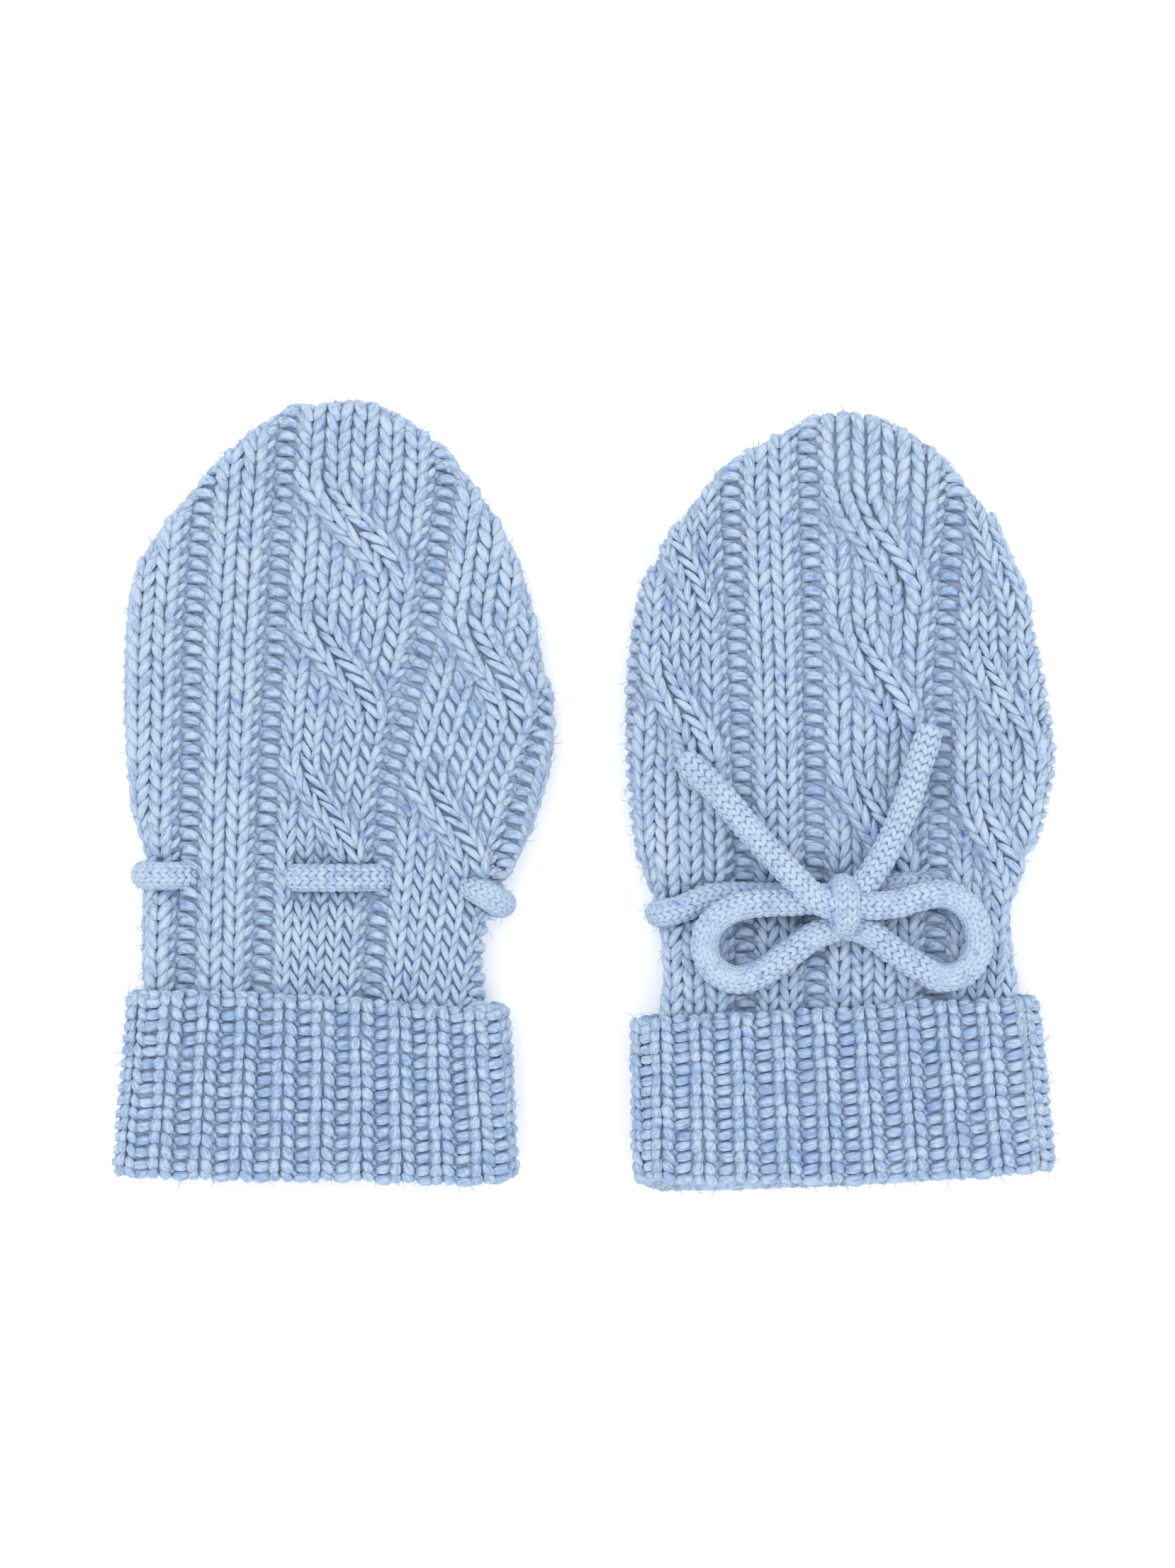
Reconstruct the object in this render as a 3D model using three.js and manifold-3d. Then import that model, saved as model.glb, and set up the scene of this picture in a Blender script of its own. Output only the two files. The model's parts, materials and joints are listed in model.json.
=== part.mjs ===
// A pair of knitted baby mittens laid flat side by side, the left one palm up and the right one bow up.
// Millimetres. +X runs across the pair, +Y towards the fingertips, +Z up from the surface that they lie on.
// The origin is on that surface, under the middle of the pair.
import * as THREE from "three";
import { mergeVertices } from "three/addons/utils/BufferGeometryUtils.js";
import Module from "manifold-3d";

const wasm = await Module();
wasm.setup();

// Cloth and cord
const wallThickness = 2.8;
const seamGap = 0.3;
const cordRadius = 2.4;
const cordSides = 8;
const cordStep = { drawstring: 2.5, bow: 3.6 };
const clothColor = 0xa9c3e4;
const cordColor = 0xb6cae6;

// Cuff, turned up once all round
const cuffLayer = 2.6;
const cuffHalfHeight = 5.8;
const handTuck = 3;
const foldRadius = cuffLayer + seamGap / 2;
const innerLayerTop = handTuck + seamGap;
const foldTurns = [40, 90, 140];

// The cuff's cast-on edge: how far it is rounded off downwards, from outside and from inside, and its ribbing
const castOn = { down: 0.7, outside: 0.8, inside: 0.4, ribbed: 0.5 };

// Round the ring of the cuff: where the upper half turns into the lower one, and how far the ribs reach round
const ringTurn = 0.9;
const ribWrap = 0.3;

// Raised knitting
const trough = { depth: 1.5, halfWidth: 1.7 };
const strand = {
  rise: 1.6, halfWidth: 2.7, halfLength: 8.4, inset: 4.2, run: 1.1, fadeFrom: 0.85, fadeTo: 1.5,
};
const ribRise = 1;
const reliefMargin = 3.5;

// Grid of the hand: spaces across and along, for the cloth and for the plain hollow inside it
const handGrid = { across: 36, along: 30 };
const hollowGrid = { across: 12, along: 12 };
const hollowReach = 4;

// How much closer the grid's spaces are towards the tip and towards the sides
const gridCrowding = { tip: 1.3, sides: 0.4 };

// Spaces of the underside that keep the grid: along its sides, at its tip and where it rises to the cuff
const undersideRim = { side: 4, tip: 4, wrist: 7 };
const hollowRim = { side: 0, tip: 0, wrist: hollowGrid.along };

// Ring of the cuff: spaces on its top, on each round side and on its underside
const cuffRing = { top: 42, side: 5, underside: 6 };

// Heights of the hand's underside and upper side, without the relief, by the distance above the cuff's edge
const handHeights = [
  { above: -6, low: cuffLayer + seamGap, high: 2 * cuffHalfHeight - cuffLayer - seamGap },
  { above: 0.6, low: cuffLayer + seamGap, high: 2 * cuffHalfHeight - cuffLayer - seamGap },
  { above: 4.5, low: 1, high: 9 },
  { above: 8, low: 0, high: 9.2 },
  { above: 20, low: 0, high: 9.2 },
  { above: 60, low: 0, high: 8.6 },
  { above: 100, low: 0, high: 7.4 },
];

// The dip that the drawstring presses into the upper side where it lies outside the cloth
const cordDip = { depth: 3.4, halfWidth: 4.2, ease: 3, overlap: 1 };

// Each mitten: its hand's outline, lines of purl stitches, cables, cuff, and where its cord lies outside.
// A cable runs between two purl lines, and its crossings are heights along Y.
const leftMitten = {
  wrist: { left: -72.7, right: -15.5 },
  leftSide: [
    { x: -73.3, y: -26 }, { x: -73.3, y: -18 }, { x: -72.9, y: -9.5 }, { x: -75, y: -1.5 },
    { x: -76.2, y: 12 }, { x: -76.2, y: 24 }, { x: -74.9, y: 36 }, { x: -70, y: 45.3 }, { x: -63.4, y: 53 },
    { x: -56.4, y: 60.3 },
  ],
  top: [
    { x: -56.4, y: 60.3 }, { x: -49.5, y: 64.8 }, { x: -42, y: 66.2 }, { x: -35.5, y: 66.2 },
    { x: -29.5, y: 63.5 }, { x: -21.4, y: 57.1 },
  ],
  rightSide: [
    { x: -16.3, y: -29 }, { x: -15.9, y: -22 }, { x: -11.6, y: -12.5 }, { x: -7.6, y: -3.5 },
    { x: -5, y: 6 }, { x: -4.6, y: 14.5 }, { x: -6.4, y: 23 }, { x: -8.3, y: 32.5 }, { x: -11.5, y: 41.9 },
    { x: -16.8, y: 50.7 }, { x: -21.4, y: 57.1 },
  ],
  purls: [
    { y: -36, a: -66, b: -53.5, c: -35.5, d: -17.5 },
    { y: 3, a: -65, b: -52.2, c: -32.2, d: -9.7 },
    { y: 27, a: -64.6, b: -51, c: -26.1, d: 0 },
    { y: 50, a: -63.1, b: -49.8, c: -23.2, d: 4 },
    { y: 66, a: -62, b: -49, c: -22, d: 6 },
  ],
  cables: [
    { left: "b", right: "c", crossings: [44.2, 21.4, -1.5] },
    { left: "c", right: "d", crossings: [21.4, -3.8] },
  ],
  cuff: {
    left: { edge: -75.8, fold: -78.3 },
    right: { edge: -12.3, fold: -10.7 },
    edge: [
      { x: -76, y: -31.7 }, { x: -61, y: -31.4 }, { x: -38, y: -32.5 }, { x: -20, y: -34.2 },
      { x: -12, y: -33.7 },
    ],
    fold: [
      { x: -78, y: -62.2 }, { x: -58, y: -63 }, { x: -38, y: -63.1 }, { x: -20, y: -63.8 },
      { x: -11, y: -62.9 },
    ],
    lowerReach: { left: 0, right: 0 },
    ribs: { first: 0.032, step: 0.0982 },
  },
  cordLine: [{ x: -76, y: -12.6 }, { x: -41, y: -13 }, { x: -21, y: -14.4 }, { x: -12, y: -17.2 }],
  cordOutside: [{ from: -80, to: -66.2 }, { from: -49.8, to: -32.8 }, { from: -18.2, to: -5 }],
};

const rightMitten = {
  wrist: { left: 11.4, right: 72.3 },
  leftSide: [
    { x: 12.8, y: -31.5 }, { x: 12.6, y: -24 }, { x: 11.4, y: -17 }, { x: 9.2, y: -11 },
    { x: 7.6, y: -1 }, { x: 6.7, y: 12 }, { x: 7.2, y: 24 }, { x: 9.6, y: 35.5 }, { x: 14.9, y: 44.8 },
    { x: 21.9, y: 54.4 },
  ],
  top: [
    { x: 21.9, y: 54.4 }, { x: 30.5, y: 60.1 }, { x: 39.5, y: 64 }, { x: 44.5, y: 64.5 }, { x: 51, y: 62.8 },
    { x: 58.8, y: 57.7 },
  ],
  rightSide: [
    { x: 71.7, y: -28 }, { x: 71.1, y: -19.5 }, { x: 71.8, y: -14 }, { x: 75.2, y: -7 },
    { x: 77.6, y: 2 }, { x: 78.2, y: 8 }, { x: 76.9, y: 17 }, { x: 75, y: 27 }, { x: 72.2, y: 38.4 },
    { x: 67.6, y: 47.2 }, { x: 58.8, y: 57.7 },
  ],
  purls: [
    { y: -36, z: 6, a: 26.5, b: 37.9, c: 57.5, d: 74 },
    { y: 3, z: 5, a: 25.9, b: 37.8, c: 58.4, d: 79 },
    { y: 27, z: 7, a: 25, b: 37.5, c: 59.4, d: 77 },
    { y: 50, z: 9, a: 24, b: 36.9, c: 61.2, d: 76 },
    { y: 66, z: 10, a: 23.5, b: 36.5, c: 62, d: 76 },
  ],
  cables: [
    { left: "z", right: "a", crossings: [38.6, 15] },
    { left: "b", right: "c", crossings: [41.9, 20.2, -3.8] },
    { left: "c", right: "d", crossings: [39, 16.1, -7.3] },
  ],
  cuff: {
    left: { edge: 7.9, fold: 8.4 },
    right: { edge: 75.6, fold: 78.5 },
    edge: [
      { x: 7.9, y: -36.2 }, { x: 20.7, y: -35.2 }, { x: 44.2, y: -34 }, { x: 56, y: -32.9 },
      { x: 75.6, y: -32.4 },
    ],
    fold: [
      { x: 8.4, y: -62.8 }, { x: 20, y: -63.4 }, { x: 44, y: -63.2 }, { x: 62, y: -62.6 },
      { x: 78, y: -60.9 },
    ],
    lowerReach: { left: 2.8, right: 1 },
    ribs: { first: 0.066, step: 0.0995 },
  },
  cordLine: [
    { x: 10, y: -18.9 }, { x: 16.2, y: -18 }, { x: 20.7, y: -16 }, { x: 44, y: -16.6 }, { x: 54, y: -13.9 },
  ],
  cordOutside: [{ from: 5, to: 55.2 }],
};

// Routes of the drawstrings and of the bow. Where a route dives through an eyelet, z falls to the inside.
const leftDrawstring = [
  { x: -66.5, y: -12.4, z: 2.5 }, { x: -70.4, y: -12.4, z: 2.6 }, { x: -72.5, y: -12.5, z: 5.2 },
  { x: -71, y: -12.6, z: 8 }, { x: -68, y: -12.6, z: 8.4 }, { x: -65.4, y: -12.6, z: 7 },
  { x: -62.2, y: -12.7, z: 5.3 }, { x: -53.6, y: -12.9, z: 5.3 }, { x: -50.2, y: -12.9, z: 7 },
  { x: -47, y: -12.9, z: 8.2 },
  { x: -36, y: -12.9, z: 8.2 }, { x: -32.4, y: -12.9, z: 7 }, { x: -29, y: -13, z: 5.3 },
  { x: -21.8, y: -13.6, z: 5.3 }, { x: -18.4, y: -14.4, z: 7 }, { x: -16.2, y: -15.6, z: 8.4 },
  { x: -14.4, y: -16.7, z: 8 }, { x: -13.4, y: -17.3, z: 5.2 }, { x: -15, y: -17.2, z: 2.6 },
  { x: -19, y: -16.8, z: 2.5 },
];
const rightDrawstringLeft = [
  { x: 18.5, y: -18.2, z: 2.5 }, { x: 14.6, y: -18.7, z: 2.6 }, { x: 12.5, y: -18.9, z: 5.2 },
  { x: 14, y: -18.6, z: 8 }, { x: 16.6, y: -17.9, z: 8.3 }, { x: 20.7, y: -16.2, z: 8.2 },
  { x: 27.8, y: -15.9, z: 8 }, { x: 33.6, y: -16.3, z: 8.4 }, { x: 38.3, y: -16.8, z: 9.8 },
  { x: 42.4, y: -17.2, z: 11 },
];
const rightDrawstringRight = [
  { x: 42.4, y: -16.4, z: 10 }, { x: 46.8, y: -15.4, z: 9 }, { x: 50.7, y: -14.1, z: 8.4 },
  { x: 53.6, y: -13.9, z: 7.8 }, { x: 56.4, y: -13.9, z: 6.4 }, { x: 59.4, y: -14, z: 5.3 },
  { x: 66.4, y: -14.6, z: 5.3 },
];
const leftLoop = [
  { x: 42.4, y: -15.4, z: 13.2 }, { x: 35, y: -16.7, z: 13.1 }, { x: 29.4, y: -16.9, z: 13.3 },
  { x: 24.8, y: -17.7, z: 13.4 }, { x: 20.9, y: -20.4, z: 13.2 }, { x: 19.8, y: -24.1, z: 12.6 },
  { x: 21.3, y: -27.7, z: 12.3 }, { x: 24.8, y: -29.5, z: 12.3 }, { x: 28.9, y: -28.5, z: 12.3 },
  { x: 33.5, y: -25.3, z: 12.3 }, { x: 38, y: -22.2, z: 12.2 }, { x: 42.4, y: -20.8, z: 12 },
];
const rightLoop = [
  { x: 42.4, y: -16.6, z: 14.6 }, { x: 46.8, y: -17.3, z: 14.2 }, { x: 50.7, y: -17.1, z: 13.7 },
  { x: 54.8, y: -16, z: 13.2 }, { x: 59, y: -15.4, z: 12.6 }, { x: 62.6, y: -17.3, z: 12.4 },
  { x: 64.5, y: -21, z: 12.3 }, { x: 64.5, y: -25.1, z: 12.3 }, { x: 62, y: -28.4, z: 12.3 },
  { x: 58.4, y: -29.1, z: 12.3 }, { x: 54.4, y: -27.1, z: 12.3 }, { x: 50.3, y: -24.4, z: 12.2 },
  { x: 46.4, y: -21.6, z: 11.9 }, { x: 42.4, y: -20.6, z: 11.6 },
];
const leftTail = [
  { x: 42.4, y: -18.4, z: 15 }, { x: 37.6, y: -15.9, z: 15.8 }, { x: 32.5, y: -10.8, z: 14.4 },
  { x: 27.4, y: -5.2, z: 12.8 }, { x: 22.3, y: 0.9, z: 12.4 }, { x: 15.7, y: 7.4, z: 12.1 },
];
const rightTail = [
  { x: 42.4, y: -17.4, z: 13.6 }, { x: 46.2, y: -13.4, z: 13.4 }, { x: 49.2, y: -8.8, z: 13 },
  { x: 52.3, y: -2.2, z: 12.5 }, { x: 54.8, y: 5.4, z: 12.4 }, { x: 57.1, y: 12.5, z: 12.2 },
];
const knot = {
  x: 42.4, y: -17.3, z: 12.4, halfWidth: 2.9, halfLength: 4.3, halfHeight: 5, around: 14, down: 9,
};

const clothMaterial = new THREE.MeshStandardMaterial({ color: clothColor, roughness: 0.95, metalness: 0 });
const cordMaterial = new THREE.MeshStandardMaterial({ color: cordColor, roughness: 0.9, metalness: 0 });

const { lerp, clamp, smoothstep } = THREE.MathUtils;
const bell = (t) => Math.exp(-t * t);

// The value of a named column at a place along another, from a table sorted by that other column.
function lookUp(table, along, place, column) {
  const last = table.length - 1;
  let i = 0;
  while (i < last - 1 && table[i + 1][along] < place) i++;
  const share = clamp((place - table[i][along]) / (table[i + 1][along] - table[i][along]), 0, 1);
  return lerp(table[i][column], table[i + 1][column], share);
}

// Closed mesh to solid, and back.
function solidOf(geometry) {
  geometry.deleteAttribute("normal");
  geometry.deleteAttribute("uv");
  const merged = mergeVertices(geometry, 1e-4);
  const vertProperties = new Float32Array(merged.attributes.position.array);
  const triVerts = new Uint32Array(merged.index.array);
  return new wasm.Manifold(new wasm.Mesh({ numProp: 3, vertProperties, triVerts }));
}

function meshOf(name, solid, material) {
  const largest = solid.decompose().sort((a, b) => b.volume() - a.volume())[0];
  const { vertProperties, triVerts } = largest.getMesh();
  const geometry = new THREE.BufferGeometry();
  geometry.setAttribute("position", new THREE.BufferAttribute(new Float32Array(vertProperties), 3));
  geometry.setIndex(new THREE.BufferAttribute(new Uint32Array(triVerts), 1));
  geometry.computeVertexNormals();
  const mesh = new THREE.Mesh(geometry, material);
  mesh.name = name;
  return mesh;
}

function geometryOf(points, triangles) {
  const geometry = new THREE.BufferGeometry();
  geometry.setAttribute("position", new THREE.Float32BufferAttribute(points.flat(), 3));
  geometry.setIndex(triangles);
  return geometry;
}

// Height of the knitting above the plain cloth: purl lines are sunk, and each cable's front strand is raised.
function handRelief(mitten, x, y) {
  const purlAt = (column) => lookUp(mitten.purls, "y", y, column);
  let height = 0;
  for (const column of Object.keys(mitten.purls[0])) {
    if (column !== "y") height -= trough.depth * bell((x - purlAt(column)) / trough.halfWidth);
  }
  for (const cable of mitten.cables) {
    const left = purlAt(cable.left) + strand.inset;
    const right = purlAt(cable.right) - strand.inset;
    for (const crossing of cable.crossings) {
      const rise = (y - crossing) / strand.halfLength;
      const center = lerp(right, left, smoothstep(rise, -strand.run, strand.run));
      const fade = 1 - smoothstep(Math.abs(rise), strand.fadeFrom, strand.fadeTo);
      height += strand.rise * fade * bell((x - center) / strand.halfWidth);
    }
  }
  return height;
}

function routeCurve(route) {
  return new THREE.CatmullRomCurve3(route.map((p) => new THREE.Vector3(p.x, p.y, p.z)), false, "centripetal");
}

function cuffEdgeAt(mitten, x) {
  return lookUp(mitten.cuff.edge, "x", x, "y");
}

// Plan of the hand as a patch between its four edges. Inset moves its two sides and its top inwards.
function handPlan(mitten, grid, inset, reach) {
  const wristPoint = (x) => ({ x, y: cuffEdgeAt(mitten, x) - handTuck });
  const edgeCurve = (rows) => routeCurve(rows.map((p) => ({ ...p, z: 0 })));
  const curves = {
    left: edgeCurve([wristPoint(mitten.wrist.left), ...mitten.leftSide]),
    right: edgeCurve([wristPoint(mitten.wrist.right), ...mitten.rightSide]),
    top: edgeCurve(mitten.top),
  };
  const insetPoint = (curve, share, side) => {
    const point = curve.getPointAt(share);
    const tangent = curve.getTangentAt(share);
    return point.add(new THREE.Vector3(tangent.y, -tangent.x, 0).multiplyScalar(side * inset));
  };
  const left = (v) => insetPoint(curves.left, v, 1);
  const right = (v) => insetPoint(curves.right, v, -1);
  const corners = [left(0), right(0), left(1), right(1)];
  const top = (u) => {
    const point = insetPoint(curves.top, u, 1);
    const ends = [insetPoint(curves.top, 0, 1), insetPoint(curves.top, 1, 1)];
    const closing = corners[2].clone().sub(ends[0]).lerp(corners[3].clone().sub(ends[1]), u);
    return point.add(closing);
  };
  const bottom = (u) => {
    const point = corners[0].clone().lerp(corners[1], u);
    if (u > 0 && u < 1) point.y = wristPoint(point.x).y;
    return point;
  };
  const rows = [];
  for (let j = 0; j <= grid.along; j++) {
    const v = 1 - (1 - j / grid.along) ** gridCrowding.tip;
    const row = [];
    for (let i = 0; i <= grid.across; i++) {
      const even = i / grid.across;
      const u = lerp(even, 0.5 - 0.5 * Math.cos(Math.PI * even), gridCrowding.sides);
      const across = left(v).lerp(right(v), u);
      const along = bottom(u).lerp(top(u), v);
      const plane = corners[0].clone().lerp(corners[1], u).lerp(corners[2].clone().lerp(corners[3], u), v);
      const point = across.add(along).sub(plane);
      if (j === 0) point.y -= reach;
      row.push(point);
    }
    rows.push(row);
  }
  return rows;
}

// Distance in plan from a point to the closed part of a patch's edge: its two sides and its top.
function edgeDistance(rows, point) {
  const edge = rows.map((row) => row[0]);
  edge.push(...rows[rows.length - 1].slice(1));
  edge.push(...rows.slice(0, -1).reverse().map((row) => row[row.length - 1]));
  const nearest = new THREE.Vector3();
  let least = Infinity;
  for (let i = 1; i < edge.length; i++) {
    new THREE.Line3(edge[i - 1], edge[i]).closestPointToPoint(point, true, nearest);
    least = Math.min(least, nearest.distanceTo(point));
  }
  return least;
}

// A flat bag over a patch: upper and lower faces that meet along a rounded edge, and a flat end at the wrist.
// Inside its rim the lower face is one flat polygon.
function bagGeometry(rows, heightsAt, rim) {
  const across = rows[0].length - 1;
  const along = rows.length - 1;
  const flat = { left: rim.side, right: across - rim.side, start: rim.wrist, end: along - rim.tip };
  const points = [];
  const upper = [];
  const lower = [];
  for (let j = 0; j <= along; j++) {
    for (let i = 0; i <= across; i++) {
      const point = rows[j][i];
      const onEdge = i === 0 || i === across || j === along;
      const isFlat = i >= flat.left && i <= flat.right && j >= flat.start && j <= flat.end;
      const heights = heightsAt(point, onEdge ? 0 : edgeDistance(rows, point));
      if (isFlat) heights.low = heights.floor;
      upper.push(points.length);
      points.push([point.x, point.y, heights.high]);
      if (!onEdge) points.push([point.x, point.y, heights.low]);
      lower.push(points.length - 1);
    }
  }
  const triangles = [];
  const quad = (a, b, c, d) => {
    for (const t of [[a, b, c], [a, c, d]]) {
      if (new Set(t).size === 3) triangles.push(...t);
    }
  };
  const at = (j, i) => j * (across + 1) + i;
  for (let j = 0; j < along; j++) {
    for (let i = 0; i < across; i++) {
      quad(upper[at(j, i)], upper[at(j, i + 1)], upper[at(j + 1, i + 1)], upper[at(j + 1, i)]);
      if (i < flat.left || i >= flat.right || j < flat.start || j >= flat.end) {
        quad(lower[at(j, i)], lower[at(j + 1, i)], lower[at(j + 1, i + 1)], lower[at(j, i + 1)]);
      }
    }
  }
  const border = [];
  for (let i = flat.left; i < flat.right; i++) border.push(lower[at(flat.start, i)]);
  for (let j = flat.start; j < flat.end; j++) border.push(lower[at(j, flat.right)]);
  for (let i = flat.right; i > flat.left; i--) border.push(lower[at(flat.end, i)]);
  for (let j = flat.end; j > flat.start; j--) border.push(lower[at(j, flat.left)]);
  const outline = border.map((index) => new THREE.Vector2(points[index][0], points[index][1]));
  for (const [a, b, c] of THREE.ShapeUtils.triangulateShape(outline, [])) {
    const turn = THREE.ShapeUtils.area([outline[a], outline[b], outline[c]]);
    triangles.push(border[a], ...(turn > 0 ? [border[c], border[b]] : [border[b], border[c]]));
  }
  for (let i = 0; i < across; i++) {
    quad(lower[i], lower[i + 1], upper[i + 1], upper[i]);
  }
  return geometryOf(points, triangles);
}

// How far the drawstring presses the upper side of the hand down at a place.
function dipAt(mitten, x, y) {
  const line = lookUp(mitten.cordLine, "x", x, "y");
  const outside = mitten.cordOutside.map(({ from, to }) => {
    const start = smoothstep(x, from - cordDip.ease, from + cordDip.overlap);
    return start * (1 - smoothstep(x, to - cordDip.overlap, to + cordDip.ease));
  });
  return cordDip.depth * Math.max(...outside) * bell((y - line) / cordDip.halfWidth);
}

// The hand: one knitted bag, its upper side raised in ribs and cables, plain inside, open at the wrist.
function handSolid(mitten) {
  const bandAt = (x, y) => {
    const above = y - cuffEdgeAt(mitten, x);
    const heightAt = (column) => lookUp(handHeights, "above", above, column);
    return { low: heightAt("low"), high: heightAt("high") };
  };
  const rounded = (band, distance, shift) => {
    const radius = (band.high - band.low) / 2;
    const share = clamp(distance / radius, 0, 1);
    const bulge = radius * Math.sqrt(1 - (1 - share) ** 2);
    const middle = (band.high + band.low) / 2;
    const inner = clamp(distance / reliefMargin, 0, 1);
    return { low: middle - bulge, high: middle + bulge + inner * shift, floor: band.low };
  };
  const outside = bagGeometry(handPlan(mitten, handGrid, 0, 0), (p, distance) => {
    const shift = handRelief(mitten, p.x, p.y) - dipAt(mitten, p.x, p.y);
    return rounded(bandAt(p.x, p.y), distance, shift);
  }, undersideRim);
  const hollow = bagGeometry(handPlan(mitten, hollowGrid, wallThickness, hollowReach), (p, distance) => {
    const band = bandAt(p.x, p.y);
    const dip = dipAt(mitten, p.x, p.y);
    const inner = { low: band.low + wallThickness, high: band.high - wallThickness - dip };
    inner.high = Math.max(inner.high, inner.low + seamGap);
    return rounded(inner, distance, 0);
  }, hollowRim);
  return solidOf(outside).subtract(solidOf(hollow));
}

// The cuff's wall, cut through from its cast-on edge down to the fold and up to the hand. Each row lies a
// distance along from the edge or from the fold, and inwards from the outside, where the ribbed rows are.
function cuffProfile() {
  const middle = cuffLayer + seamGap / 2;
  const outside = [0, 0.5, 1].map((share) => ({ share, inset: 0, ribbed: 1 }));
  const fold = foldTurns.map((degrees) => {
    const angle = THREE.MathUtils.degToRad(degrees);
    const along = foldRadius * (1 - Math.sin(angle));
    return { along, inset: middle - foldRadius * Math.cos(angle), ribbed: Math.max(0, Math.cos(angle)) };
  });
  return [
    { below: 0, inset: castOn.outside, ribbed: castOn.ribbed },
    ...outside.map((row) => ({ below: castOn.down, ...row })),
    ...fold,
    { along: foldRadius, inset: 2 * foldRadius, ribbed: 0 },
    { below: innerLayerTop, inset: 2 * foldRadius, ribbed: 0 },
    { below: innerLayerTop, inset: middle + seamGap / 2, ribbed: 0 },
    { along: foldRadius, inset: middle + seamGap / 2, ribbed: 0 },
    { along: foldRadius - seamGap / 2, inset: middle, ribbed: 0 },
    { along: foldRadius, inset: middle - seamGap / 2, ribbed: 0 },
    { below: 0, inset: cuffLayer - castOn.inside, ribbed: 0 },
  ];
}

// Places round the cuff's flattened ring: a share across its width, with the direction of its round side.
function cuffPlaces() {
  const places = [];
  for (let i = 0; i < cuffRing.top; i++) places.push({ share: i / cuffRing.top, angle: Math.PI / 2 });
  for (let i = 0; i <= cuffRing.side; i++) {
    places.push({ share: 1, angle: Math.PI * (0.5 - i / cuffRing.side) });
  }
  for (let i = 1; i < cuffRing.underside; i++) {
    places.push({ share: 1 - i / cuffRing.underside, angle: -Math.PI / 2 });
  }
  for (let i = 0; i < cuffRing.side; i++) {
    places.push({ share: 0, angle: -Math.PI * (0.5 + i / cuffRing.side) });
  }
  return places;
}

function cuffPoint(cuff, row, place) {
  const edgeSpan = { left: cuff.left.edge + cuffHalfHeight, right: cuff.right.edge - cuffHalfHeight };
  const roughX = lerp(edgeSpan.left, edgeSpan.right, place.share) + cuffHalfHeight * Math.cos(place.angle);
  const lowerShare = smoothstep(-Math.sin(place.angle), -ringTurn, ringTurn);
  const reach = lerp(cuff.lowerReach.left, cuff.lowerReach.right, place.share) * lowerShare;
  const edge = lookUp(cuff.edge, "x", roughX, "y");
  const fold = lookUp(cuff.fold, "x", roughX, "y") - reach;
  let y = row.along === undefined ? edge - row.below : fold + row.along;
  if (row.share !== undefined) y = lerp(y, fold + foldRadius, row.share);
  const down = (edge - y) / (edge - fold);
  const left = lerp(cuff.left.edge, cuff.left.fold, down) + cuffHalfHeight;
  const right = lerp(cuff.right.edge, cuff.right.fold, down) - cuffHalfHeight;
  const ribPhase = (place.share * (right - left) + cuffHalfHeight) / (right - left + 2 * cuffHalfHeight);
  const rib = 0.5 - 0.5 * Math.cos((2 * Math.PI * (ribPhase - cuff.ribs.first)) / cuff.ribs.step);
  const upper = clamp(Math.sin(place.angle) + ribWrap, 0, 1);
  const radius = cuffHalfHeight - row.inset - ribRise * row.ribbed * upper * rib;
  const x = lerp(left, right, place.share) + radius * Math.cos(place.angle);
  return [x, y, cuffHalfHeight + radius * Math.sin(place.angle)];
}

// The cuff: one ribbed tube folded outwards and up at its mouth, its inner layer meeting the hand.
function cuffSolid(mitten) {
  const profile = cuffProfile();
  const places = cuffPlaces();
  const points = places.flatMap((place) => profile.map((row) => cuffPoint(mitten.cuff, row, place)));
  const rows = profile.length;
  const at = (place, row) => (place % places.length) * rows + (row % rows);
  const triangles = [];
  for (let p = 0; p < places.length; p++) {
    for (let r = 0; r < rows; r++) {
      triangles.push(at(p, r), at(p, r + 1), at(p + 1, r + 1));
      triangles.push(at(p, r), at(p + 1, r + 1), at(p + 1, r));
    }
  }
  return solidOf(geometryOf(points, triangles));
}

// A round cord along a route, or the room that it needs when its radius is widened.
function cordSolid(route, step, widen = 0) {
  const curve = routeCurve(route);
  const section = new THREE.Shape();
  for (let i = 0; i < cordSides; i++) {
    const angle = (2 * Math.PI * i) / cordSides;
    const radius = cordRadius + widen;
    const corner = [radius * Math.cos(angle), radius * Math.sin(angle)];
    if (i) section.lineTo(...corner);
    else section.moveTo(...corner);
  }
  const steps = Math.round(curve.getLength() / step);
  return solidOf(new THREE.ExtrudeGeometry(section, { extrudePath: curve, steps, bevelEnabled: false }));
}

// The knot: one round wrap of cord over the crossing strands.
function knotSolid(widen = 0) {
  const ball = new THREE.SphereGeometry(1, knot.around, knot.down);
  ball.scale(knot.halfWidth + widen, knot.halfLength + widen, knot.halfHeight + widen);
  ball.translate(knot.x, knot.y, knot.z);
  return solidOf(ball);
}

const pair = new THREE.Group();

const drawstringRoom = (route) => cordSolid(route, cordStep.drawstring, seamGap);
const leftHand = handSolid(leftMitten).subtract(drawstringRoom(leftDrawstring));
pair.add(meshOf("left_hand", leftHand, clothMaterial));
pair.add(meshOf("left_cuff", cuffSolid(leftMitten), clothMaterial));
pair.add(meshOf("left_drawstring", cordSolid(leftDrawstring, cordStep.drawstring), cordMaterial));

const rightHand = handSolid(rightMitten)
  .subtract(drawstringRoom(rightDrawstringLeft))
  .subtract(drawstringRoom(rightDrawstringRight));
pair.add(meshOf("right_hand", rightHand, clothMaterial));
pair.add(meshOf("right_cuff", cuffSolid(rightMitten), clothMaterial));

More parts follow.
